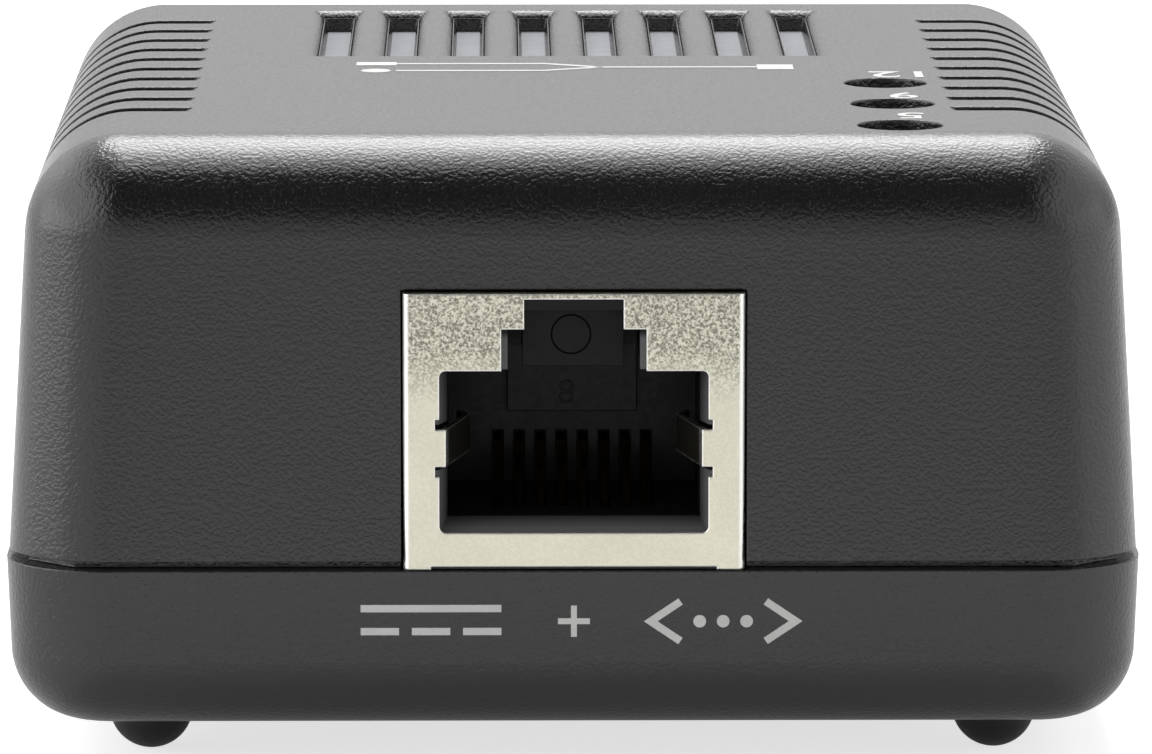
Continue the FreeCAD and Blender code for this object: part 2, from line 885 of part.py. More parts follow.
def selector_knob():
    """Knob with a ribbed tip and a wide shoe that slides behind the plate."""
    middle = knob_middle()
    half = knob_width / 2
    tip = selector_set_back - knob_set_back
    stem = box(-half, half, -tip, selector_sheet + selector_gap + lap, middle - knob_height / 2,
               middle + knob_height / 2)
    ribs = []
    for i in (-1, 0, 1):
        x = i * knob_width / 4
        points = [(x - rib_half, -tip - lap), (x + rib_half, -tip - lap), (x, -tip + rib_cut)]
        ribs.append(prism(points, middle - knob_height, middle + knob_height))
    low = selector_lift + selector_sheet + selector_gap
    high = low + selector_height - 2 * (selector_sheet + selector_gap)
    shoe = box(-shoe_width / 2, shoe_width / 2, selector_sheet + selector_gap,
               selector_depth - base_thick - selector_gap - wiper, low, high)
    return fused([stem.cut(ribs), shoe])


def selector_contact():
    """Sliding contact on the back of the shoe, a running clearance from the terminals."""
    back = selector_depth - base_thick - selector_gap
    middle = selector_lift + selector_sheet + selector_terminal_up
    half = shoe_width / 2 - wiper_set_in
    return box(-half, half, back - wiper, back, middle - wiper_half, middle + wiper_half)


def at_selector(shape):
    return moved(turned_round(shape), selector_x, face - selector_set_back, parting)


# Lamps


def lens(x, y):
    """Three-millimetre lamp, as a short cylinder."""
    top = case_top - lens_below_top
    return rod(lens_radius, x, y, top - lens_length, top)


def lamp_lead_places():
    return [(x + side * lamp_lead_pitch / 2, y) for x, y in lamp_places for side in (-1, 1)]


def lamp_base():
    return case_top - lens_below_top - lens_length


def lamp_leads():
    """Square leads, cut to length, that end in the lamp's base and under the board."""
    return Part.makeCompound([post(lamp_lead, x, y, lead_low, lamp_base()) for x, y in lamp_lead_places()])


def lamp_spacers():
    """Tall spacers that hold the lamps under their windows."""
    hole_width = lamp_lead + lamp_lead_gap
    holes = [post(hole_width, x, y, parting - past, lamp_base() + past) for x, y in lamp_lead_places()]
    blocks = [post(spacer_width, x, y, parting, lamp_base()) for x, y in lamp_places]
    return Part.makeCompound([block.cut(holes) for block in blocks])


# Transformer


def core_middle():
    return parting + core_lift + core_thick / 2


def core_half(side):
    """One E-shaped half of the core: a back and three legs."""
    low = parting + core_lift
    high = low + core_thick
    back = side * core_length * along / 2
    y0, y1 = sorted((0, back))
    half = core_width * across / 2
    leg = core_leg * across / 2
    side_leg = half - core_side * across
    solid = box(-half, half, y0, y1, low, high)
    y0, y1 = sorted((-side * past, back - side * core_back * along))
    windows = [box(x0, x1, y0, y1, low - past, high + past)
               for x0, x1 in ((leg, side_leg), (-side_leg, -leg))]
    return moved(solid.cut(windows), *between_jacks(transformer_place))


def bobbin_hole():
    """Half width and half height of the bobbin's tube, inside."""
    return core_leg * across / 2 + bobbin_gap, core_thick / 2 + bobbin_gap


def bobbin_half_length():
    return (core_length / 2 - core_back) * along - bobbin_gap


def ring(inner_x, inner_z, thick_x, thick_z, y0, y1):
    """Square tube along Y about the core's middle leg."""
    z = core_middle()
    outer = box(-inner_x - thick_x, inner_x + thick_x, y0, y1, z - inner_z - thick_z, z + inner_z + thick_z)
    return outer.cut(box(-inner_x, inner_x, y0 - past, y1 + past, z - inner_z, z + inner_z))


def transformer_pin_places():
    x0, y0 = between_jacks(transformer_place)
    rail = (core_length - core_back) * along / 2
    xs = [pin_pitch * across * (i - (pin_count - 1) / 2) for i in range(pin_count)]
    return [(x0 + x, y0 + side * rail) for side in (-1, 1) for x in xs]


def pin_top():
    return parting + core_lift - bobbin_gap - pin_cover


def bobbin():
    """Tube about the middle leg, with flanges and a rail of pins under each end of the core."""
    inner_x, inner_z = bobbin_hole()
    room = bobbin_half_length()
    parts = [ring(inner_x, inner_z, bobbin_wall, bobbin_wall, -room, room)]
    wide = (core_width / 2 - core_side) * across - bobbin_gap - inner_x
    high = core_middle() - parting - bobbin_gap / 2 - inner_z
    for side in (-1, 1):
        y0, y1 = sorted((side * room, side * (room - bobbin_flange)))
        parts.append(ring(inner_x, inner_z, wide, high, y0, y1))
        y0, y1 = sorted((side * (room - bobbin_flange), side * core_length * along / 2))
        half = core_width * across / 2 - rail_set_in
        parts.append(box(-half, half, y0, y1, parting, parting + core_lift - bobbin_gap))
    solid = moved(fused(parts), *between_jacks(transformer_place))
    return solid.cut([post(pin_width, x, y, parting - past, pin_top()) for x, y in transformer_pin_places()])


def transformer_winding():
    inner_x, inner_z = [half + bobbin_wall for half in bobbin_hole()]
    room = bobbin_half_length() - bobbin_flange
    thick = winding_thick * across
    coil = ring(inner_x, inner_z, thick, thick, -room, room)
    long_edges = [e for e in coil.Edges if e.BoundBox.YLength > room]
    corners = [e for e in long_edges if abs(e.Vertexes[0].X) > inner_x + thick / 2]
    return moved(coil.makeChamfer(thick * winding_corner, corners), *between_jacks(transformer_place))


def transformer_pins():
    places = transformer_pin_places()
    return Part.makeCompound([post(pin_width, x, y, lead_low, pin_top()) for x, y in places])


# Parts soldered to the top of the board


def chip_body(place, size):
    """Moulded body with drafted sides, a little above the board."""
    x, y = place
    half_x, half_y, high = size[0] / 2, size[1] / 2, size[2]
    draft = high * chip_draft
    low = parting + chip_lift
    middle = parting + high / 2
    top = parting + high
    wide = outline(rectangle(half_x, half_y), 0.0, in_xy, middle)
    parts = []
    for z in (low, top):
        slim = outline(rectangle(half_x - draft, half_y - draft), 0.0, in_xy, z)
        parts.append(Part.makeLoft([slim, wide] if z < middle else [wide, slim], True, True))
    return moved(fused(parts), x, y)


def gull_leads(place, size, count, pitch, width, shrink, along_y=False):
    """Bent leads along two opposite sides of a chip."""
    start = (size[1] if along_y else size[0]) / 2
    middle = size[2] / 2
    foot_z = gull_thick / 2
    knee = start + gull_knee * shrink
    toe = knee + gull_foot * shrink
    line = [(start, middle), (knee, middle), (knee + gull_thick, foot_z), (toe, foot_z)]
    solids = []
    for i in range(count):
        offset = pitch * (i - (count - 1) / 2)
        for side in (-1, 1):
            points = strip([(side * a, parting + b) for a, b in line], gull_thick)
            plane = in_yz if along_y else in_xz
            lead = prism(points, offset - width / 2, offset + width / 2, 0.0, plane)
            solids.append(moved(lead, place[0], place[1]))
    return solids


def electrolytic(place, headroom):
    """Can that leaves some headroom under the liner."""
    x, y = between_jacks(place)
    return rod(capacitor_radius * min(across, along), x, y, parting, liner_under - headroom)


def capacitor_lead_places():
    cans = (input_capacitor_place, output_capacitor_place)
    pitches = [(place, capacitor_lead_pitch * min(across, along)) for place in cans]
    pitches.append((film_place, film_lead_pitch * across))
    places = []
    for place, pitch in pitches:
        x, y = between_jacks(place)
        places += [(x - pitch / 2, y), (x + pitch / 2, y)]
    return places


def capacitor_leads():
    """Leads of the three upright capacitors, from their bases to under the board."""
    places = capacitor_lead_places()
    return Part.makeCompound([post(component_lead, x, y, lead_low, parting) for x, y in places])


def film_capacitor():
    """Moulded box on the board, with bevelled upright edges."""
    length, width, height = shrunk(film_size, across, along)
    x, y = between_jacks(film_place)
    body = box(x - length / 2, x + length / 2, y - width / 2, y + width / 2, parting, parting + height)
    return body.makeChamfer(width * film_bevel, upright_edges(body))


def inductor():
    """Shielded inductor: a ferrite block with cut corners."""
    length, width, height = shrunk(inductor_size, across, min(1, along))
    x, y = between_jacks(inductor_place)
    low = parting + chip_lift
    body = box(x - length / 2, x + length / 2, y - width / 2, y + width / 2, low, parting + height)
    return body.makeChamfer(inductor_chamfer, upright_edges(body))


def transistor_metal():
    """Tab under and behind the transistor, and its two leads."""
    x, y = between_jacks(transistor_place)
    size = shrunk(transistor_size, across, along)
    half_x = size[0] / 2
    half_y = size[1] / 2
    tab_x = half_x * transistor_tab_share
    tab_y = half_y + transistor_tab * along
    tab = fused([box(-tab_x, tab_x, -half_y, tab_y, 0, chip_lift),
                 box(-tab_x, tab_x, half_y, tab_y, 0, transistor_lead)])
    foot_z = transistor_lead / 2
    reach = transistor_reach * along
    high = 2 * transistor_lead
    start, end = transistor_bend
    line = [(-half_y, high), (-half_y - reach * start, high), (-half_y - reach * end, foot_z),
            (-half_y - reach, foot_z)]
    points = strip(line, transistor_lead)
    offset = half_x * transistor_lead_share
    half = transistor_lead_half
    leads = [prism(points, x0 - half, x0 + half, 0.0, in_yz) for x0 in (-offset, offset)]
    return Part.makeCompound([moved(s, x, y, parting) for s in [tab] + leads])


def end_clips(place, size):
    """Metal end clips, bent down and under a chip's body."""
    half = size[0] / 2 + chip_lift / 2
    line = [(half, size[2] / 2), (half, chip_lift / 2), (half - clip_foot, chip_lift / 2)]
    clips = []
    for side in (-1, 1):
        points = strip([(side * a, b) for a, b in line], chip_lift)
        clip = prism(points, -clip_width / 2, clip_width / 2, 0.0, in_xz)
        clips.append(moved(clip, place[0], place[1], parting))
    return Part.makeCompound(clips)


def chip_parts():
    length, width, height = shrunk(chip_size, min(across, beside), min(1, along))
    places = [between_jacks(place) for place in middle_chips] + [by_input(place) for place in left_chips]
    places += [(x, y - lamp_pitch / 2) for x, y in lamp_places]
    solids = [box(x - length / 2, x + length / 2, y - width / 2, y + width / 2, parting, parting + height)
              for x, y in places]
    return Part.makeCompound(solids)


# Circuit board


def jack_holes(x, facing):
    """Slots in the board for one network jack: two rows of wires and two shield tabs."""
    cuts = []
    half = contact_wire / 2
    for row in (0, 1):
        y = facing * (contact_leg + contact_row * row - face)
        xs = [x + facing * offset for offset in contact_xs[row::2]]
        cuts.append(slot_hole(min(xs) - half, max(xs) + half, y - half, y + half))
    half = jack_width / 2
    y0, y1 = sorted((facing * (board_tab_at - face), facing * (board_tab_at + board_tab - face)))
    for side in (-1, 1):
        x0, x1 = sorted((x + side * half, x + side * (half - sheet)))
        cuts.append(slot_hole(x0, x1, y0, y1))
    return cuts


def slot_hole(x0, x1, y0, y1):
    return box(x0 - lead_gap, x1 + lead_gap, y0 - lead_gap, y1 + lead_gap, board_low - past, parting + past)


def strip_holes(shapes):
    """Slots for the flat legs of pieces that reach through the board."""
    layer = box(-case_width, case_width, -case_depth, case_depth, board_low, parting)
    cuts = []
    for shape in shapes:
        for solid in shape.Solids:
            leg = solid.common(layer)
            for piece in leg.Solids:
                b = piece.BoundBox
                cuts.append(slot_hole(b.XMin, b.XMax, b.YMin, b.YMax))
    return cuts


def circuit_board(flat_legged):
    board = inner_block((board_half_x, board_half_y), wall + board_gap, board_low, parting)
    legs = [(lamp_lead, lamp_lead_places()), (component_lead, capacitor_lead_places()),
            (pin_width, transformer_pin_places())]
    cuts = [post(width + 2 * lead_gap, x, y, board_low - past, parting + past) for width, places in legs
            for x, y in places]
    cuts += [rod(screw_radius + screw_gap, x, y, board_low - past, parting + past) for x, y in screw_places]
    cuts += jack_holes(0, 1) + jack_holes(output_jack_x, -1)
    return board.cut(cuts + strip_holes(flat_legged))


def small_parts():
    """Chips and other parts on the board, with their leads."""
    nodes = {}
    place = between_jacks(magnetics_place)
    size = shrunk(magnetics_size, across, along)
    nodes["line_magnetics"] = chip_body(place, size)
    leads = gull_leads(place, size, magnetics_lead_count, magnetics_pitch * along,
                       magnetics_lead_width * along, across)
    nodes["line_magnetics_leads"] = Part.makeCompound(leads)
    place = between_jacks(coupler_place)
    size = shrunk(coupler_size, across, along)
    nodes["optocoupler"] = chip_body(place, size)
    leads = gull_leads(place, size, coupler_lead_count, coupler_pitch * across, coupler_lead_width, along,
                       True)
    nodes["optocoupler_leads"] = Part.makeCompound(leads)
    place = by_input(controller_place)
    size = shrunk(controller_size, beside, 1)
    nodes["controller_chip"] = chip_body(place, size)
    leads = gull_leads(place, size, controller_lead_count, controller_pitch, controller_lead_width, beside)
    nodes["controller_leads"] = Part.makeCompound(leads)
    places = [by_input(place) for place in rectifier_places]
    size = shrunk(rectifier_size, beside, 1)
    nodes["bridge_rectifiers"] = Part.makeCompound([chip_body(place, size) for place in places])
    leads = [gull_leads(place, size, rectifier_lead_count, rectifier_pitch, rectifier_lead_width, beside)
             for place in places]
    nodes["bridge_rectifier_leads"] = Part.makeCompound(leads[0] + leads[1])
    place = between_jacks(transistor_place)
    nodes["switching_transistor"] = chip_body(place, shrunk(transistor_size, across, along))
    nodes["switching_transistor_tab"] = transistor_metal()
    place = (diode_place[0] * across, face - diode_place[1])
    size = shrunk(diode_size, across, 1)
    nodes["output_diode"] = chip_body(place, size)
    nodes["output_diode_clips"] = end_clips(place, size)
    nodes["input_capacitor"] = electrolytic(input_capacitor_place, input_capacitor_headroom)
    nodes["output_capacitor"] = electrolytic(output_capacitor_place, output_capacitor_headroom)
    nodes["film_capacitor"] = film_capacitor()
    nodes["capacitor_leads"] = capacitor_leads()
    nodes["output_inductor"] = inductor()
    place = between_jacks(inductor_place)
    nodes["output_inductor_clips"] = end_clips(place, shrunk(inductor_size, across, min(1, along)))
    nodes["chip_parts"] = chip_parts()
    return nodes


def build():
    nodes = {}
    nodes["top_shell"] = top_shell()
    nodes["bottom_shell"] = bottom_shell()
    nodes["vent_liner"] = vent_liner()
    for end, y in (("front", -foot_y), ("rear", foot_y)):
        for side, x in (("left", -foot_x), ("right", foot_x)):
            nodes["foot_%s_%s" % (end, side)] = foot(x, y)
    nodes["case_screws"] = Part.makeCompound([case_screw(x, y) for x, y in screw_places])
    for name, shape in (("shield", jack_shield()), ("housing", jack_body()), ("contacts", jack_contacts())):
        nodes["input_jack_" + name] = facing_front(shape)
        nodes["output_jack_" + name] = facing_rear(shape, output_jack_x)
    nodes["power_jack_housing"] = facing_rear(power_body(), power_x)
    nodes["power_jack_pin"] = facing_rear(power_pin_solid(), power_x)
    nodes["power_jack_spring"] = facing_rear(power_spring(), power_x)
    nodes["power_jack_terminals"] = facing_rear(power_terminals(), power_x)
    nodes["selector_frame"] = at_selector(selector_frame())
    nodes["selector_base"] = at_selector(selector_base())
    nodes["selector_terminals"] = at_selector(selector_terminal_set())
    nodes["selector_knob"] = at_selector(selector_knob())
    nodes["selector_contact"] = at_selector(selector_contact())
    for number, (x, y) in enumerate(lamp_places, 1):
        nodes["lamp_lens_%d" % number] = lens(x, y)
    nodes["lamp_leads"] = lamp_leads()
    nodes["lamp_spacers"] = lamp_spacers()
    nodes["transformer_core_front"] = core_half(-1)
    nodes["transformer_core_rear"] = core_half(1)
    nodes["transformer_bobbin"] = bobbin()
    nodes["transformer_winding"] = transformer_winding()
    nodes["transformer_pins"] = transformer_pins()
    nodes.update(small_parts())
    flat_legged = [nodes[n] for n in ("power_jack_spring", "power_jack_terminals", "selector_frame",
                                      "selector_terminals")]
    nodes["circuit_board"] = circuit_board(flat_legged)
    return nodes


os.makedirs("parts", exist_ok=True)
for name, shape in build().items():
    shape.exportStep("parts/%s.step" % name)
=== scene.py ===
import json
import math

import bmesh
import bpy
from mathutils import Matrix, Vector

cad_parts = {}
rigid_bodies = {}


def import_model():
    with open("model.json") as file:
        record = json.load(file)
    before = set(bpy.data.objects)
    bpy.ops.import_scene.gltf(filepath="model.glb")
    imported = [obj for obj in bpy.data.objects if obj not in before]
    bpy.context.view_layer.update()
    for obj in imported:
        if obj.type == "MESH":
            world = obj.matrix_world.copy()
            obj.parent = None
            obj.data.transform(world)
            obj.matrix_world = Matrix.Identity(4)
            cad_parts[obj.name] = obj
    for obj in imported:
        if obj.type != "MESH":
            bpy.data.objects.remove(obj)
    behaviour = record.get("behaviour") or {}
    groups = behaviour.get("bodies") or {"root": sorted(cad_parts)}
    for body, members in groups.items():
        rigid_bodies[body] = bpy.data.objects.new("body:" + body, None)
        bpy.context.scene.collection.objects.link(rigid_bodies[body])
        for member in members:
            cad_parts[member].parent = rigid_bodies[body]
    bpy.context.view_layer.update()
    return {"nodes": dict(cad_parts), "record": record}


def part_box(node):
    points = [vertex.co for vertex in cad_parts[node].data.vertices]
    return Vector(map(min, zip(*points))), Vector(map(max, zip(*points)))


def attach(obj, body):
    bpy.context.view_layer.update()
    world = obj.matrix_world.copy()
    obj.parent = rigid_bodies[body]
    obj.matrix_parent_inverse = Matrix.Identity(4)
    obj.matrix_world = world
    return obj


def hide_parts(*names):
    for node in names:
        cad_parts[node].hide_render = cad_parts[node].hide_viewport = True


for thing in list(bpy.data.objects):
    bpy.data.objects.remove(thing)
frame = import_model()
nodes = frame["nodes"]
MM = 0.001

# Sizes of the case that the pieces follow, in millimetres
TOP = 30.0
PARTING = 10.0
LOWER_FRONT = -32.6
SIDE_AT_PARTING = 26.7
EDGE_ROUND = 4.8
FOOT ={"radius": 2.0, "middle": 1.97, "top": 2.2, "flat": 0.345, "sunk": 0.02}
LAMP = {"radius": 1.5, "top": 28.6, "low": 23.3, "flange": 0.12, "flange_low": 0.85, "flange_high": 0.9}
LAMP_COUNT = 3
WINDOW_RADIUS = 2.036
SLOT = {"count": 8, "pitch": 3.38, "middle": 13.98, "half": 0.752, "half_length": 9.702, "low": 1.12}
GROOVE = {"count": 10, "pitch": 4.13, "middle": 0.335, "half": 0.679, "depth": 0.955, "over": 0.006,
          "inner": 18.2, "foot": 18.6, "full": 21.0}

# Lean of the upper shell's sides as an angle, and of the lower shell's front as a slope
UPPER_LEAN = math.radians(3.1)
LOWER_SLOPE = math.tan(math.radians(2.3))

# Roundings of the mouths cut into the case, in millimetres, and where they end, in degrees
GROOVE_RIM = 0.08
GROOVE_FLOOR_ROUND = 0.08
SLOT_RIM = 0.78
WINDOW_RIM = 0.07
RIM_END = 78
RIM_STEPS = 5
SLOT_RIM_STEPS = 7

# Printed shapes: how deep they sit in the face and how proud they stand, in millimetres
PRINT_SUNK = 0.02
PRINT_PROUD = 0.012


# Node helpers


def new_material(name):
    mat = bpy.data.materials.new(name)
    mat.use_nodes = True
    tree = mat.node_tree
    tree.nodes.clear()
    out = tree.nodes.new("ShaderNodeOutputMaterial")
    shader = tree.nodes.new("ShaderNodeBsdfPrincipled")
    tree.links.new(shader.outputs["BSDF"], out.inputs["Surface"])
    return mat, tree, shader


def coordinates(tree, stretch=(1, 1, 1)):
    """Coordinates in the part's frame, in metres."""
    coord = tree.nodes.new("ShaderNodeTexCoord")
    mapping = tree.nodes.new("ShaderNodeMapping")
    mapping.inputs["Scale"].default_value = stretch
    tree.links.new(coord.outputs["Object"], mapping.inputs["Vector"])
    return mapping.outputs["Vector"]


def noise(tree, vector, scale, detail=2.0, rough=0.5, distortion=0.0):
    tex = tree.nodes.new("ShaderNodeTexNoise")
    tex.inputs["Scale"].default_value = scale
    tex.inputs["Detail"].default_value = detail
    tex.inputs["Roughness"].default_value = rough
    tex.inputs["Distortion"].default_value = distortion
    tree.links.new(vector, tex.inputs["Vector"])
    return tex.outputs["Fac"]


def maths(tree, operation, *values):
    """Result of a Math node, whose values are numbers or sockets."""
    node = tree.nodes.new("ShaderNodeMath")
    node.operation = operation
    for index, value in enumerate(values):
        if isinstance(value, float):
            node.inputs[index].default_value = value
        else:
            tree.links.new(value, node.inputs[index])
    return node.outputs[0]


def separated(tree, vector):
    """The X, Y and Z of a vector, by name."""
    node = tree.nodes.new("ShaderNodeSeparateXYZ")
    tree.links.new(vector, node.inputs[0])
    return node.outputs


def spread(tree, value, low, high, to_low=0.0, to_high=1.0):
    """Map a value's range to another one, clamped."""
    node = tree.nodes.new("ShaderNodeMapRange")
    node.inputs["From Min"].default_value = low
    node.inputs["From Max"].default_value = high
    node.inputs["To Min"].default_value = to_low
    node.inputs["To Max"].default_value = to_high
    tree.links.new(value, node.inputs["Value"])
    return node.outputs["Result"]


def mixed(tree, factor, first, second):
    """Mix of two colours, each a tuple or a socket."""
    node = tree.nodes.new("ShaderNodeMix")
    node.data_type = "RGBA"
    tree.links.new(factor, node.inputs[0])
    for index, colour in ((6, first), (7, second)):
        if isinstance(colour, tuple):
            node.inputs[index].default_value = (*colour, 1)
        else:
            tree.links.new(colour, node.inputs[index])
    return node.outputs[2]


def bump(tree, shader, height, distance, normal=None):
    """Relief of a depth in metres, over the surface's own normal or a rounded one."""
    node = tree.nodes.new("ShaderNodeBump")
    node.inputs["Strength"].default_value = 1.0
    node.inputs["Distance"].default_value = distance
    tree.links.new(height, node.inputs["Height"])
    if normal is not None:
        tree.links.new(normal, node.inputs["Normal"])
    tree.links.new(node.outputs["Normal"], shader.inputs["Normal"])


def soft_edges(tree, radius, samples=8):
    """Normal that rounds the edges by a radius in metres."""
    node = tree.nodes.new("ShaderNodeBevel")
    node.samples = samples
    node.inputs["Radius"].default_value = radius
    return node.outputs["Normal"]


def finish_material(name, colour, second, rough, grain, depth, metallic=0.0, stretch=(1, 1, 1), coat=0.0,
                    edge=0.0):
    """Plain procedural finish: two near tones, uneven roughness and a fine relief at one grain size."""
    mat, tree, shader = new_material(name)
    vector = coordinates(tree, stretch)
    fine = noise(tree, vector, 1 / grain, 3.0, 0.6)
    broad = noise(tree, vector, 1 / (grain * 14), 2.0, 0.5)
    tone = mixed(tree, spread(tree, broad, 0.35, 0.65), colour, second)
    tone = mixed(tree, spread(tree, fine, 0.3, 0.7, 0, 0.35), tone, second)
    tree.links.new(tone, shader.inputs["Base Color"])
    tree.links.new(spread(tree, fine, 0.3, 0.7, *rough), shader.inputs["Roughness"])
    shader.inputs["Metallic"].default_value = metallic
    shader.inputs["IOR"].default_value = 1.5
    shader.inputs["Coat Weight"].default_value = coat
    shader.inputs["Coat Roughness"].default_value = 0.15
    bump(tree, shader, fine, depth, soft_edges(tree, edge) if edge else None)
    return mat


# Materials


def case_material():
    """Dark moulded plastic with a fine eroded texture of small rounded pits."""
    mat, tree, shader = new_material("case_plastic")
    vector = coordinates(tree)
    grain = noise(tree, vector, 5400, 1.0, 0.5, 0.2)
    fine = noise(tree, vector, 11000, 2.0, 0.6)
    broad = noise(tree, vector, 90, 3.0, 0.5)
    height = maths(tree, "MULTIPLY_ADD", fine, 0.5, spread(tree, grain, 0.36, 0.62))
    dark, pale, fleck = (0.0068, 0.0068, 0.0066), (0.0082, 0.0082, 0.0079), (0.03, 0.03, 0.029)
    tone = mixed(tree, spread(tree, broad, 0.35, 0.65), dark, pale)
    tone = mixed(tree, spread(tree, fine, 0.62, 0.78, 0, 0.7), tone, fleck)
    tree.links.new(tone, shader.inputs["Base Color"])
    tree.links.new(spread(tree, grain, 0.3, 0.7, 0.19, 0.25), shader.inputs["Roughness"])
    shader.inputs["IOR"].default_value = 1.6
    bump(tree, shader, height, 0.000011, soft_edges(tree, 0.00013))
    return mat


def jack_material():
    """Black moulded plastic, with the lead-in of a jack's mouth below the latch painted a lighter grey as
    painted light.
    """
    mat = finish_material("jack_plastic", (0.0042, 0.0042, 0.0041), (0.0056, 0.0056, 0.0054), (0.34, 0.46),
                          0.0003, 0.000006, edge=0.00008)
    tree = mat.node_tree
    shader = tree.nodes["Principled BSDF"]
    shader.inputs["Specular IOR Level"].default_value = 0.2
    plain = shader.inputs["Base Color"].links[0].from_socket
    place = separated(tree, coordinates(tree))
    from_middle = maths(tree, "ABSOLUTE", place["Y"])
    below_latch = spread(tree, place["Z"], 0.0212, 0.0209)
    # Painted light: the lead-in faces are painted lighter grey, standing in for the light they catch
    painted_lead_in_light = mixed(tree, spread(tree, from_middle, 0.0306, 0.0318), plain, (0.11, 0.11, 0.113))
    tree.links.new(mixed(tree, below_latch, plain, painted_lead_in_light), shader.inputs["Base Color"])
    return mat


def shield_material():
    """Nickel plate: brushed, with a darker speckle towards the top as painted reflection, painted highlights
    on edges and bends, and painted shade inside the mouth.
    """
    mat, tree, shader = new_material("shield_plate")
    dark, pale = (0.74, 0.715, 0.59), (0.79, 0.765, 0.63)
    grey, grain_pale = (0.22, 0.21, 0.165), (0.74, 0.715, 0.60)
    painted_shade_tone, bright = (0.17, 0.165, 0.135), (0.98, 0.97, 0.93)
    vector = coordinates(tree)
    place = separated(tree, vector)
    brushed = noise(tree, coordinates(tree, (1, 1, 12)), 1500, 3.0, 0.6)
    specks = noise(tree, vector, 9000, 2.0, 0.7)
    broad = noise(tree, vector, 240, 2.0, 0.5)
    tone = mixed(tree, spread(tree, broad, 0.35, 0.65), dark, pale)
    # Painted reflection: a darker speckle, stronger towards the top, stands in for the grain reflecting the
    # edge of the sky there
    painted_reflection_speckle = mixed(tree, spread(tree, specks, 0.40, 0.60), grey, grain_pale)
    tone = mixed(tree, spread(tree, place["Z"], 0.0178, 0.0205, 0.12, 1.0), tone, painted_reflection_speckle)
    rounded = soft_edges(tree, 0.00014)
    flat = tree.nodes.new("ShaderNodeNewGeometry").outputs["Normal"]
    match = tree.nodes.new("ShaderNodeVectorMath")
    match.operation = "DOT_PRODUCT"
    tree.links.new(rounded, match.inputs[0])
    tree.links.new(flat, match.inputs[1])
    # Painted highlight: rounded edges, and the front bends that face sideways, are painted near white
    edge = spread(tree, match.outputs["Value"], 0.995, 0.93)
    leaning = spread(tree, maths(tree, "ABSOLUTE", separated(tree, flat)["X"]), 0.1, 0.4)
    fore = spread(tree, maths(tree, "ABSOLUTE", place["Y"]), 0.0318, 0.0321)
    painted_highlight = maths(tree, "MAXIMUM", edge, maths(tree, "MULTIPLY", leaning, fore))
    # Painted shade: inside the mouth, nearer the middle than the front face, the plate is painted dark
    tone = mixed(tree, painted_highlight, mixed(tree, fore, painted_shade_tone, tone), bright)
    tree.links.new(tone, shader.inputs["Base Color"])
    tree.links.new(spread(tree, brushed, 0.3, 0.7, 0.30, 0.42), shader.inputs["Roughness"])
    shader.inputs["Metallic"].default_value = 1.0
    bump(tree, shader, brushed, 0.000003, rounded)
    return mat


def board_material():
    """Green solder mask over fine copper lines, a little raised."""
    mat, tree, shader = new_material("board_mask")
    vector = coordinates(tree)
    cells = tree.nodes.new("ShaderNodeTexBrick")
    cells.inputs["Scale"].default_value = 240
    cells.inputs["Mortar Size"].default_value = 0.03
    cells.inputs["Color1"].default_value = (0.015, 0.12, 0.04, 1)
    cells.inputs["Color2"].default_value = (0.02, 0.15, 0.055, 1)
    cells.inputs["Mortar"].default_value = (0.012, 0.07, 0.03, 1)
    tree.links.new(vector, cells.inputs["Vector"])
    weave = noise(tree, vector, 1500, 2.0, 0.5)
    tone = mixed(tree, spread(tree, weave, 0.3, 0.7, 0, 0.3), cells.outputs["Color"], (0.03, 0.19, 0.07))
    tree.links.new(tone, shader.inputs["Base Color"])
    tree.links.new(spread(tree, weave, 0.3, 0.7, 0.22, 0.34), shader.inputs["Roughness"])
    shader.inputs["Coat Weight"].default_value = 0.3
    bump(tree, shader, cells.outputs["Fac"], 0.00003)
    return mat


def tape_material():
    """Yellow polyester tape, with the edges of its turns."""
    mat, tree, shader = new_material("winding_tape")
    wave = tree.nodes.new("ShaderNodeTexWave")
    wave.bands_direction = "Z"
    wave.inputs["Scale"].default_value = 260
    wave.inputs["Distortion"].default_value = 1.5
    tree.links.new(coordinates(tree), wave.inputs["Vector"])
    turns = wave.outputs["Fac"]
    tree.links.new(mixed(tree, turns, (0.62, 0.40, 0.05), (0.74, 0.53, 0.10)), shader.inputs["Base Color"])
    tree.links.new(spread(tree, turns, 0, 1, 0.25, 0.4), shader.inputs["Roughness"])
    bump(tree, shader, turns, 0.00004)
    return mat


def lens_material():
    """Clear tinted epoxy, unlit."""
    mat, tree, shader = new_material("lens_epoxy")
    cloud = noise(tree, coordinates(tree), 900, 2.0, 0.5)
    tone = mixed(tree, spread(tree, cloud, 0.3, 0.7), (0.03, 0.035, 0.03), (0.05, 0.058, 0.045))
    tree.links.new(tone, shader.inputs["Base Color"])
    tree.links.new(spread(tree, cloud, 0.3, 0.7, 0.08, 0.16), shader.inputs["Roughness"])
    shader.inputs["Coat Weight"].default_value = 0.6
    shader.inputs["Coat Roughness"].default_value = 0.05
    bump(tree, shader, cloud, 0.000004)
    return mat


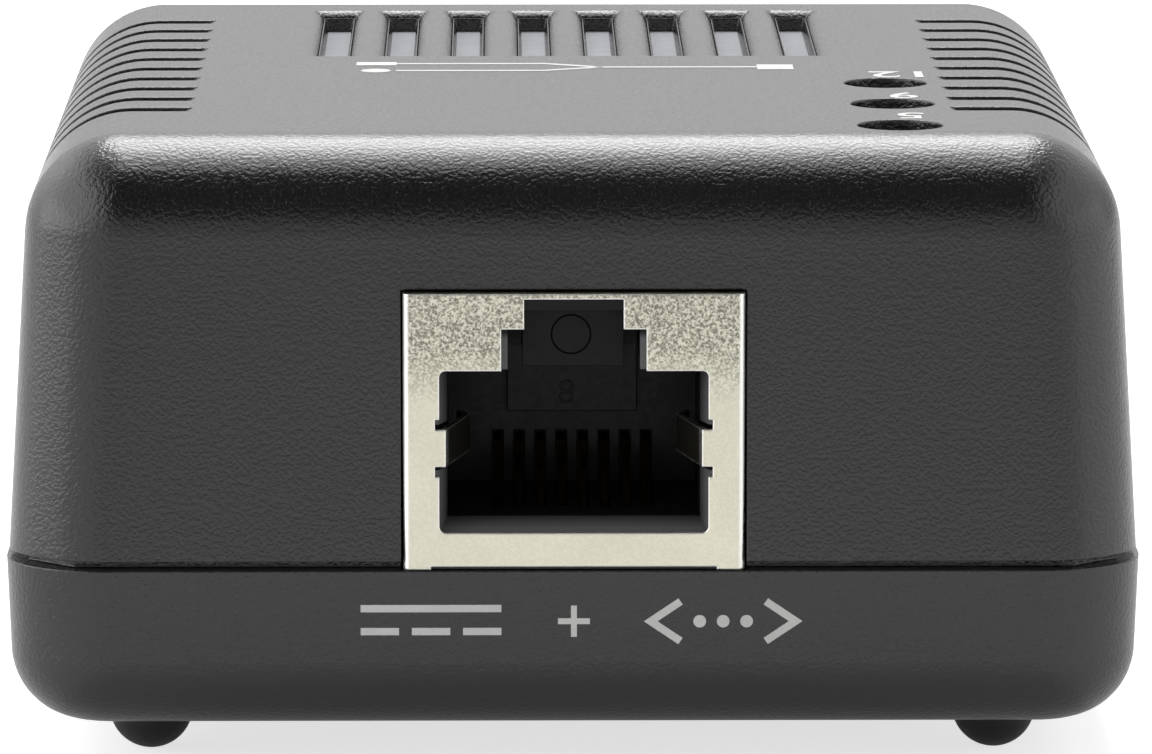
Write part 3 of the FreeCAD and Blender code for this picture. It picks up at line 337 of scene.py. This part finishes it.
# Each plain finish: name, two tones, roughness from and to, grain size and relief in metres
case = case_material()
shield = shield_material()
black_plastic = jack_material()
rubber = finish_material("foot_rubber", (0.006, 0.006, 0.0058), (0.009, 0.009, 0.0086), (0.42, 0.55), 0.0004,
                         0.000012)
liner = finish_material("liner_sheet", (0.21, 0.215, 0.235), (0.26, 0.265, 0.285), (0.5, 0.65), 0.0006,
                        0.00001)
zinc = finish_material("screw_zinc", (0.55, 0.55, 0.54), (0.42, 0.42, 0.42), (0.25, 0.42), 0.0002, 0.000006,
                       metallic=1.0, edge=0.0001)
nickel = finish_material("bright_nickel", (0.72, 0.71, 0.68), (0.6, 0.59, 0.56), (0.14, 0.26), 0.0003,
                         0.000003, metallic=1.0, edge=0.00006)
tinned = finish_material("tinned_lead", (0.62, 0.62, 0.62), (0.46, 0.46, 0.47), (0.25, 0.42), 0.0002,
                         0.00001, metallic=1.0)
gold = finish_material("contact_gold", (0.80, 0.55, 0.20), (0.70, 0.46, 0.15), (0.14, 0.24), 0.0004,
                       0.000002, metallic=1.0, stretch=(1, 0.2, 1))
brown_board = finish_material("selector_board", (0.16, 0.075, 0.03), (0.22, 0.11, 0.05), (0.5, 0.65), 0.0003,
                              0.00002)
ferrite = finish_material("core_ferrite", (0.035, 0.035, 0.038), (0.055, 0.054, 0.056), (0.45, 0.6), 0.00025,
                          0.00002)
chip_black = finish_material("chip_epoxy", (0.013, 0.013, 0.013), (0.02, 0.02, 0.02), (0.45, 0.6), 0.00012,
                             0.00001, edge=0.00005)
chip_tan = finish_material("chip_ceramic", (0.30, 0.22, 0.15), (0.38, 0.30, 0.21), (0.4, 0.55), 0.0002,
                           0.000008)
sleeve = finish_material("capacitor_sleeve", (0.012, 0.013, 0.022), (0.02, 0.022, 0.034), (0.2, 0.3), 0.0008,
                         0.00001, coat=0.2)
red_box = finish_material("film_box", (0.42, 0.05, 0.03), (0.5, 0.075, 0.04), (0.3, 0.42), 0.0003, 0.00001,
                          edge=0.0001)
board = board_material()
tape = tape_material()
lens_epoxy = lens_material()
# Near black with little sheen: painted shade, used for the ejector pin's ring
shade_line_black = finish_material("shade_line_black", (0.0012, 0.0012, 0.0012), (0.002, 0.002, 0.002), (0.6, 0.7),
                             0.0002, 0.000004)
shade_line_black.node_tree.nodes["Principled BSDF"].inputs["Specular IOR Level"].default_value = 0.05
ink = finish_material("white_ink", (0.60, 0.60, 0.59), (0.54, 0.54, 0.53), (0.4, 0.55), 0.0002, 0.000008)

FINISH = {
    "case": case, "liner": liner, "feet": rubber, "screws": zinc, "shield": shield,
    "jack_plastic": black_plastic, "contacts": gold, "bright_metal": nickel, "tinned_metal": tinned,
    "selector_plastic": brown_board, "lens": lens_epoxy, "ferrite": ferrite, "chip_plastic": chip_black,
    "chip_ceramic": chip_tan, "winding_tape": tape, "capacitor_sleeve": sleeve, "film_box": red_box,
    "board": board,
}
for part in frame["record"]["subparts"]:
    slots = nodes[part["node"]].data.materials
    slots.clear()
    slots.append(FINISH[part["material_slot"]])


# Pieces


def add_mesh(name, bm, mat, body="housing", smooth=True):
    """New piece from a mesh under construction, on its body and with its slot."""
    mesh = bpy.data.meshes.new(name)
    bm.to_mesh(mesh)
    bm.free()
    for polygon in mesh.polygons:
        polygon.use_smooth = smooth
    mesh.materials.append(mat)
    obj = bpy.data.objects.new(name, mesh)
    bpy.context.scene.collection.objects.link(obj)
    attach(obj, body)
    return obj


def evaluated_mesh(obj):
    """Mesh of an object with its modifiers applied."""
    bpy.context.view_layer.update()
    return bpy.data.meshes.new_from_object(obj.evaluated_get(bpy.context.evaluated_depsgraph_get()))


def on_circle(radius, count, x=0.0, y=0.0):
    """Points evenly round a circle."""
    turns = [2 * math.pi * i / count for i in range(count)]
    return [(x + radius * math.cos(a), y + radius * math.sin(a)) for a in turns]


def join_loops(bm, first, second):
    """Band of faces between two loops, either of which may be a single vertex."""
    count = max(len(first), len(second))
    for i in range(count):
        j = (i + 1) % count
        face = []
        for vert in (first[i % len(first)], first[j % len(first)], second[j % len(second)],
                     second[i % len(second)]):
            if vert not in face:
                face.append(vert)
        if len(face) > 2:
            bm.faces.new(face)


def lathe(profile, centre, segments=56):
    """Closed surface turned about an upright axis from (radius, height) pairs, in millimetres."""
    bm = bmesh.new()
    rings = []
    for radius, z in profile:
        spots = on_circle(radius, segments, *centre) if radius > 0 else [centre]
        rings.append([bm.verts.new((a * MM, b * MM, z * MM)) for a, b in spots])
    for first, second in zip(rings, rings[1:]):
        join_loops(bm, first, second)
    bmesh.ops.recalc_face_normals(bm, faces=bm.faces)
    return bm


def middle_of(low, high):
    """X and Y of a box's middle, in millimetres."""
    middle = (low + high) / 2 / MM
    return middle.x, middle.y


def foot_piece(name, centre):
    """Rubber foot: a smooth dome that flattens where it stands, with a thin stuck rim."""
    radius = FOOT["radius"]
    steps = 16
    start = math.acos(FOOT["flat"] / radius)
    high = FOOT["top"] + FOOT["sunk"]
    profile = [(0, 0.0), (FOOT["flat"] * 0.6, 0.0)]
    for i in range(steps + 1):
        turn = start * (1 - i / steps)
        profile.append((radius * math.cos(turn), FOOT["middle"] - radius * math.sin(turn)))
    profile += [(radius, high), (0, high)]
    obj = add_mesh(name + "_dome", lathe(profile, centre), rubber)
    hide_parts(name)


def lamp_piece(name, centre):
    """Three-millimetre lamp with a rounded top and a thin flange."""
    radius, low = LAMP["radius"], LAMP["low"]
    steps = 12
    profile = [(0, LAMP["top"])]
    for i in range(1, steps + 1):
        turn = math.pi / 2 * i / steps
        profile.append((radius * math.sin(turn), LAMP["top"] - radius + radius * math.cos(turn)))
    wide = radius + LAMP["flange"]
    profile += [(radius, low + LAMP["flange_high"]), (wide, low + LAMP["flange_low"]), (wide, low), (0, low)]
    obj = add_mesh(name + "_dome", lathe(profile, centre), lens_epoxy)
    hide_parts(name)


for name in ("foot_front_left", "foot_front_right", "foot_rear_left", "foot_rear_right"):
    low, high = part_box(name)
    foot_piece(name, middle_of(low, high))
for number in range(1, LAMP_COUNT + 1):
    low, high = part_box("lamp_lens_%d" % number)
    lamp_piece("lamp_lens_%d" % number, middle_of(low, high))


# Upper shell: the mouths of its grooves, slots and windows are rounded


def rim_round(radius, steps):
    """Rounding of a mouth from its wall outwards: (out, down) pairs, the last ones over the surface."""
    pairs = []
    for i in range(steps + 1):
        turn = math.radians(RIM_END) * i / steps
        pairs.append((radius * (1 - math.cos(turn)), radius * (1 - math.sin(turn))))
    out, down = pairs[-1]
    over = 0.02
    above = 0.5
    out += (down + over) * math.tan(math.radians(RIM_END))
    return pairs + [(out, -over), (out, -above)]


def skin(bm, rings):
    """Closed surface over rings with the same number of points, with a face on both ends."""
    made = [[bm.verts.new([c * MM for c in point]) for point in ring] for ring in rings]
    for first, second in zip(made, made[1:]):
        join_loops(bm, first, second)
    bm.faces.new(made[0][::-1])
    bm.faces.new(made[-1])


def side_x(z, depth=0.0):
    """X of the upper shell's side at a height, at a depth under its surface."""
    return SIDE_AT_PARTING - (z - PARTING) * math.tan(UPPER_LEAN) - depth / math.cos(UPPER_LEAN)


def groove_path():
    """Spots on the outside of the case along one groove: x, z, the normal's x and z, and the depth."""
    centre_z = TOP - EDGE_ROUND
    centre_x = side_x(centre_z, EDGE_ROUND)
    full, inner, foot, over = (GROOVE[key] for key in ("depth", "inner", "foot", "over"))
    slope = full / (centre_x - inner)
    starts = [inner + along for along in (-0.25, 0.1, 0.35, 0.8, 1.2)] + [centre_x - 0.01]
    path = [(x, TOP, 0.0, 1.0, (x - inner) * slope + over) for x in starts]
    steps = 22
    for i in range(steps + 1):
        turn = math.pi / 2 - (math.pi / 2 - UPPER_LEAN) * i / steps
        nx, nz = math.cos(turn), math.sin(turn)
        path.append((centre_x + EDGE_ROUND * nx, centre_z + EDGE_ROUND * nz, nx, nz, full))
    nx, nz = math.cos(UPPER_LEAN), math.sin(UPPER_LEAN)
    fall = full / (GROOVE["full"] - foot)
    ends = [(GROOVE["full"], full)] + [(foot + up, up * fall) for up in (1.2, 0.5, 0.12, -0.2)]
    return path + [(side_x(z), z, nx, nz, depth + over) for z, depth in ends]


def groove_rings(y, side):
    """Sections of one groove's cutter, with a rounded mouth and floor; slivers where it fades out."""
    shallow = 0.02
    wide = GROOVE["half"]
    rings = []
    for x, z, nx, nz, depth in groove_path():
        rim = max(min(GROOVE_RIM, 0.8 * depth), shallow)
        half = [(wide + out, down) for out, down in rim_round(rim, RIM_STEPS)]
        if depth > shallow:
            floor = max(depth, rim + 0.004)
        else:
            floor = depth
            half = [(out, min(down, depth - 0.002 * i)) for i, (out, down) in enumerate(half)]
        foot = [(wide - GROOVE_FLOOR_ROUND, floor), (wide, max(floor - GROOVE_FLOOR_ROUND, half[0][1]))]
        half = foot + half[1:]
        line = [(-a, n) for a, n in half[::-1]] + half
        rings.append([(side * (x - nx * n), y + a, z - nz * n) for a, n in line])
    return rings


def rounded_rectangle(half_x, half_y, radius, steps=5):
    points = []
    for sx, sy, start in ((1, 1, 0), (-1, 1, 90), (-1, -1, 180), (1, -1, 270)):
        for i in range(steps + 1):
            turn = math.radians(start + 90 * i / steps)
            points.append((sx * (half_x - radius) + radius * math.cos(turn),
                           sy * (half_y - radius) + radius * math.sin(turn)))
    return points


def slot_places():
    return [SLOT["pitch"] * (i - (SLOT["count"] - 1) / 2) for i in range(SLOT["count"])]


def slot_rings(x, y):
    """Long slot, whose mouth opens out to the ridges between the slots."""
    corner = 0.01
    levels = [(0.0, SLOT["low"])] + rim_round(SLOT_RIM, SLOT_RIM_STEPS)
    rings = []
    for out, down in levels:
        points = rounded_rectangle(SLOT["half"] + out, SLOT["half_length"] + out, corner + out)
        rings.append([(x + a, y + b, TOP - down) for a, b in points])
    return rings


def slot_lining():
    """The slots grow narrower towards the liner: a tapered lining in each one."""
    longer = 8.95
    corner = 0.05
    # Corners of its section: half of the width, and the height over the top face
    loops = ((SLOT["half"], -0.35), (0.60, -1.045), (0.80, -1.045), (0.80, -0.35))
    bm = bmesh.new()
    for x in slot_places():
        made = []
        for half, down in loops:
            points = rounded_rectangle(half, half + longer, corner)
            made.append([bm.verts.new(((x + a) * MM, (SLOT["middle"] + b) * MM, (TOP + down) * MM))
                         for a, b in points])
        for first, second in zip(made, made[1:] + made[:1]):
            join_loops(bm, first, second)
    bmesh.ops.recalc_face_normals(bm, faces=bm.faces)
    add_mesh("slot_lining", bm, case, smooth=False)


def window_rings(x, y):
    """Round lamp window with a slightly rounded mouth."""
    count = 72
    through = 1.9
    rings = []
    for out, down in [(0.0, through)] + rim_round(WINDOW_RIM, RIM_STEPS):
        rings.append([(a, b, TOP - down) for a, b in on_circle(WINDOW_RADIUS + out, count, x, y)])
    return rings


def mouth_cutter():
    """One object that cuts all the rounded mouths."""
    bm = bmesh.new()
    for i in range(GROOVE["count"]):
        y = GROOVE["middle"] + GROOVE["pitch"] * (i - (GROOVE["count"] - 1) / 2)
        for side in (1, -1):
            skin(bm, groove_rings(y, side))
    for x in slot_places():
        skin(bm, slot_rings(x, SLOT["middle"]))
    for i in range(LAMP_COUNT):
        low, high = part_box("lamp_lens_%d" % (i + 1))
        skin(bm, window_rings(*middle_of(low, high)))
    bmesh.ops.recalc_face_normals(bm, faces=bm.faces)
    mesh = bpy.data.meshes.new("mouths")
    bm.to_mesh(mesh)
    bm.free()
    return bpy.data.objects.new("mouths", mesh)


def upper_shell():
    """Upper shell of the CAD part with rounded mouths, in place of the plain one."""
    tool = mouth_cutter()
    obj = bpy.data.objects.new("top_shell_moulding", nodes["top_shell"].data.copy())
    for thing in (tool, obj):
        bpy.context.scene.collection.objects.link(thing)
    cut = obj.modifiers.new("mouths", "BOOLEAN")
    cut.operation = "DIFFERENCE"
    cut.solver = "EXACT"
    cut.object = tool
    mesh = evaluated_mesh(obj)
    obj.modifiers.clear()
    obj.data = mesh
    bpy.data.objects.remove(tool)
    smooth_by_area(obj)
    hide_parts("top_shell")
    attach(obj, "housing")


def smooth_by_area(obj):
    """Flat faces are joined and the shading is weighted by area, so that flats stay flat beside rounds."""
    nearest = 0.000001
    bm = bmesh.new()
    bm.from_mesh(obj.data)
    bmesh.ops.remove_doubles(bm, verts=bm.verts, dist=nearest)
    bmesh.ops.dissolve_degenerate(bm, edges=bm.edges, dist=nearest)
    bmesh.ops.dissolve_limit(bm, angle_limit=math.radians(0.2), verts=bm.verts, edges=bm.edges)
    bm.to_mesh(obj.data)
    bm.free()
    if "custom_normal" in obj.data.attributes:
        obj.data.attributes.remove(obj.data.attributes["custom_normal"])
    obj.data.shade_smooth()
    obj.data.set_sharp_from_angle(angle=math.radians(38))
    weighted = obj.modifiers.new("weighted", "WEIGHTED_NORMAL")
    weighted.keep_sharp = True
    weighted.weight = 80


upper_shell()
slot_lining()


# Print and moulded marks


def flat_piece(name, outlines, place):
    """Flat printed shapes: outlines in (a, b), in millimetres, placed on a face."""
    bm = bmesh.new()
    for points in outlines:
        base = [bm.verts.new(place(a, b, -PRINT_SUNK)) for a, b in points]
        cap = [bm.verts.new(place(a, b, PRINT_PROUD)) for a, b in points]
        bm.faces.new(cap)
        bm.faces.new(base[::-1])
        join_loops(bm, base, cap)
    bmesh.ops.recalc_face_normals(bm, faces=bm.faces)
    add_mesh(name, bm, ink, smooth=False)


def bar(a0, a1, b0, b1):
    return [(a0, b0), (a1, b0), (a1, b1), (a0, b1)]


def disc(a, b, radius, count=20):
    return on_circle(radius, count, a, b)


def stroke(points, width):
    """Outline of a line of even width through points."""
    line = [Vector((a, b)) for a, b in points]
    left, right = [], []
    for i, point in enumerate(line):
        normals = []
        for a, b in ((i - 1, i), (i, i + 1)):
            if 0 <= a and b < len(line):
                along = (line[b] - line[a]).normalized()
                normals.append(Vector((-along.y, along.x)))
        mitre = sum(normals[1:], normals[0]).normalized()
        offset = mitre * (width / 2 / mitre.dot(normals[0]))
        left.append(point + offset)
        right.append(point - offset)
    return [(p.x, p.y) for p in left + right[::-1]]


def number_piece(name, text, high, thick, place, mat, weight=0.012):
    """A plain number, so high and so thick in millimetres, at a place given as a matrix."""
    curve = bpy.data.curves.new(name, "FONT")
    curve.body = text
    curve.size = 1.0
    curve.resolution_u = 6
    curve.extrude = 0.01
    curve.offset = weight
    probe = bpy.data.objects.new(name + "_probe", curve)
    bpy.context.scene.collection.objects.link(probe)
    mesh = evaluated_mesh(probe)
    bpy.data.objects.remove(probe)
    xs = [v.co.x for v in mesh.vertices]
    ys = [v.co.y for v in mesh.vertices]
    scale = high * MM / (max(ys) - min(ys))
    shift = Matrix.Translation((-(min(xs) + max(xs)) / 2, -(min(ys) + max(ys)) / 2, 0))
    mesh.transform(place @ Matrix.Diagonal((scale, scale, thick * MM / curve.extrude, 1)) @ shift)
    mesh.materials.clear()
    mesh.materials.append(mat)
    obj = bpy.data.objects.new(name, mesh)
    bpy.context.scene.collection.objects.link(obj)
    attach(obj, "housing")


def beside_lamp(y):
    """On the top beside a lamp window, to be read from the output side."""
    x = 16.2
    return Matrix.Translation((x * MM, y * MM, TOP * MM)) @ Matrix.Rotation(math.pi, 4, "Z")


def in_front_jack(x, y, z):
    """On an upright face in the front jack."""
    return Matrix.Translation((x * MM, y * MM, z * MM)) @ Matrix.Rotation(math.pi / 2, 4, "X")


number_piece("number_five", "5", 2.2, PRINT_PROUD, beside_lamp(-21.0), ink)
number_piece("number_nine", "9", 2.2, PRINT_PROUD, beside_lamp(-13.0), ink)
number_piece("number_twelve", "12", 2.4, PRINT_PROUD, beside_lamp(-4.4), ink)
number_piece("cavity_number", "8", 1.15, 0.04, in_front_jack(-0.26, -21.4, 16.75), black_plastic,
             -0.01)


def pin_mark():
    """Ring that an ejector pin left in the front of the latch block; its near black is painted shade, for
    the dark line at the ring's edge.
    """
    radius, half, proud, sunk = 0.92, 0.04, 0.03, 0.05
    inner, outer = radius - half, radius + half
    profile = [(inner, -sunk), (inner, proud), (outer, proud), (outer, -sunk)]
    obj = add_mesh("pin_mark", lathe(profile, (0, 0)), shade_line_black, smooth=False)
    obj.data.transform(in_front_jack(-0.1, -28.0, 20.5))


pin_mark()


def on_top(a, b, c):
    return a * MM, b * MM, (TOP + c) * MM


def on_lower_front(a, b, c):
    """A point on the lower shell's front face: a to the right, b up from the parting plane."""
    y = LOWER_FRONT - b * LOWER_SLOPE
    return a * MM, (y - c) * MM, (PARTING + b) * MM


# A generic line diagram on the top: one line that splits into two, each with an end mark
flat_piece("top_diagram", [
    bar(9.4, 11.2, -2.2, -0.2),
    stroke([(9.4, -1.2), (1.6, -1.2)], 0.42),
    stroke([(1.6, -1.2), (-1.2, 0.3), (-8.6, 0.3)], 0.42),
    stroke([(1.6, -1.2), (-1.2, -2.6), (-8.6, -2.6)], 0.42),
    bar(-10.6, -8.6, -0.35, 0.95),
    disc(-9.6, -2.6, 0.75),
], on_top)

# Generic marks on the lower front: a direct-current sign, a plus sign and a data sign
flat_piece("front_marks", [
    bar(-10.0, -3.4, -2.0, -1.65),
    bar(-10.0, -8.2, -3.1, -2.75),
    bar(-7.6, -5.8, -3.1, -2.75),
    bar(-5.2, -3.4, -3.1, -2.75),
    bar(-0.75, 0.75, -2.58, -2.3),
    bar(-0.14, 0.14, -3.19, -2.58),
    bar(-0.14, 0.14, -2.3, -1.69),
    stroke([(5.0, -1.5), (3.6, -2.45), (5.0, -3.4)], 0.36),
    stroke([(9.0, -1.5), (10.4, -2.45), (9.0, -3.4)], 0.36),
    disc(5.9, -2.45, 0.3),
    disc(7.0, -2.45, 0.3),
    disc(8.1, -2.45, 0.3),
], on_lower_front)


# Floor, lights and camera

# Grey of the floor, and how much it glows to the camera and in reflections
FLOOR_GREY = 0.61
FLOOR_TO_CAMERA = 0.7
FLOOR_TO_GLOSS = 0.2

# Grey levels of the sky over height: 0.5 is the floor's plane and 1 is straight up
FRONT_SKY = [(0.5, 0.66), (0.56, 0.64), (0.66, 0.54), (0.74, 0.05), (1.0, 0.0)]
BACK_SKY = [(0.5, 0.82), (0.56, 0.82), (0.66, 1.1), (0.74, 1.05), (0.9, 1.05), (1.0, 0.2)]
LEFT_SKY = [(0.5, 1.0), (0.60, 1.3), (0.75, 2.2), (0.90, 2.2), (1.0, 0.0)]
RIGHT_SKY = [(0.5, 0.6), (0.60, 0.65), (0.75, 1.2), (0.90, 1.2), (1.0, 0.0)]

# Softboxes: name, azimuth and elevation in degrees, distance, width and height in metres, radiance
LIGHTS = [
    ("key_behind", 180, 57, 0.7, 0.34, 0.52, 6.4),
    ("top", 180, 88, 0.7, 0.32, 0.23, 2.6),
    ("side_left", -85, 10, 0.7, 0.8, 0.3, 1.5),
    ("side_right", 85, 10, 0.7, 0.8, 0.3, 0.75),
]
LIGHT_AIM = Vector((0, 0, 0.015))


def floor_material():
    """Pale floor that keeps shadows, and looks white to the camera."""
    mat = bpy.data.materials.new("floor_white")
    mat.use_nodes = True
    tree = mat.node_tree
    tree.nodes.clear()
    out = tree.nodes.new("ShaderNodeOutputMaterial")
    shader = tree.nodes.new("ShaderNodeBsdfDiffuse")
    shader.inputs["Color"].default_value = (FLOOR_GREY, FLOOR_GREY, FLOOR_GREY, 1)
    glow = tree.nodes.new("ShaderNodeEmission")
    path = tree.nodes.new("ShaderNodeLightPath").outputs
    mirrored = maths(tree, "MULTIPLY", path["Is Glossy Ray"], FLOOR_TO_GLOSS)
    level = maths(tree, "MULTIPLY_ADD", path["Is Camera Ray"], FLOOR_TO_CAMERA, mirrored)
    tree.links.new(level, glow.inputs["Strength"])
    both = tree.nodes.new("ShaderNodeAddShader")
    tree.links.new(shader.outputs[0], both.inputs[0])
    tree.links.new(glow.outputs[0], both.inputs[1])
    tree.links.new(both.outputs[0], out.inputs["Surface"])
    return mat


def make_floor():
    bm = bmesh.new()
    bmesh.ops.create_grid(bm, x_segments=1, y_segments=1, size=4.0)
    mesh = bpy.data.meshes.new("studio_floor")
    bm.to_mesh(mesh)
    bm.free()
    mesh.materials.append(floor_material())
    obj = bpy.data.objects.new("studio_floor", mesh)
    bpy.context.scene.collection.objects.link(obj)


def level_ramp(tree, height, levels):
    """Grey level over height."""
    ramp = tree.nodes.new("ShaderNodeValToRGB")
    stops = ramp.color_ramp.elements
    for stop, (place, level) in zip(stops, (levels[0], levels[-1])):
        stop.position, stop.color = place, (level, level, level, 1)
    for place, level in levels[1:-1]:
        stops.new(place).color = (level, level, level, 1)
    tree.links.new(height, ramp.inputs["Fac"])
    return ramp.outputs["Color"]


def make_world():
    """White for the camera; for everything else a sky with its own levels on each side."""
    world = bpy.data.worlds.new("studio")
    bpy.context.scene.world = world
    world.use_nodes = True
    tree = world.node_tree
    tree.nodes.clear()
    out = tree.nodes.new("ShaderNodeOutputWorld")
    back = tree.nodes.new("ShaderNodeBackground")
    split = separated(tree, tree.nodes.new("ShaderNodeTexCoord").outputs["Generated"])
    height = maths(tree, "MULTIPLY_ADD", split["Z"], 0.5, 0.5)
    behind = spread(tree, split["Y"], -0.3, 0.3)
    left = spread(tree, split["X"], -0.3, -0.6)
    right = spread(tree, split["X"], 0.3, 0.6)
    sky = level_ramp(tree, height, FRONT_SKY)
    for side, levels in ((behind, BACK_SKY), (left, LEFT_SKY), (right, RIGHT_SKY)):
        sky = mixed(tree, side, sky, level_ramp(tree, height, levels))
    path = tree.nodes.new("ShaderNodeLightPath")
    tree.links.new(mixed(tree, path.outputs["Is Camera Ray"], sky, (1.0, 1.0, 1.0)), back.inputs["Color"])
    tree.links.new(back.outputs[0], out.inputs["Surface"])


def softbox(name, azimuth, elevation, distance, width, height, radiance):
    """Area light turned to the object. Azimuth 0 is in front, 90 on the right, 180 behind."""
    data = bpy.data.lights.new(name, "AREA")
    data.shape = "RECTANGLE"
    data.size, data.size_y = width, height
    data.energy = radiance * math.pi * width * height
    a, e = math.radians(azimuth), math.radians(elevation)
    direction = Vector((math.sin(a) * math.cos(e), -math.cos(a) * math.cos(e), math.sin(e)))
    obj = bpy.data.objects.new(name, data)
    obj.location = direction * distance + LIGHT_AIM
    obj.rotation_mode = "QUATERNION"
    obj.rotation_quaternion = direction.to_track_quat("Z", "Y")
    bpy.context.scene.collection.objects.link(obj)


def make_camera():
    """Camera at the photograph's viewing angle, 8.7 degrees above the floor's plane."""
    data = bpy.data.cameras.new("camera")
    data.sensor_width = 36.0
    data.lens = 287.3
    data.clip_start, data.clip_end = 0.01, 20.0
    camera = bpy.data.objects.new("camera", data)
    camera.location = (-0.00357, -0.45698, 0.0840)
    forward = Vector((0.00854, 0.98849, -0.15103)).normalized()
    camera.rotation_mode = "QUATERNION"
    camera.rotation_quaternion = forward.to_track_quat("-Z", "Y")
    bpy.context.scene.collection.objects.link(camera)
    bpy.context.scene.camera = camera


make_floor()
make_world()
for light in LIGHTS:
    softbox(*light)
make_camera()
bpy.context.scene.view_settings.view_transform = "Standard"
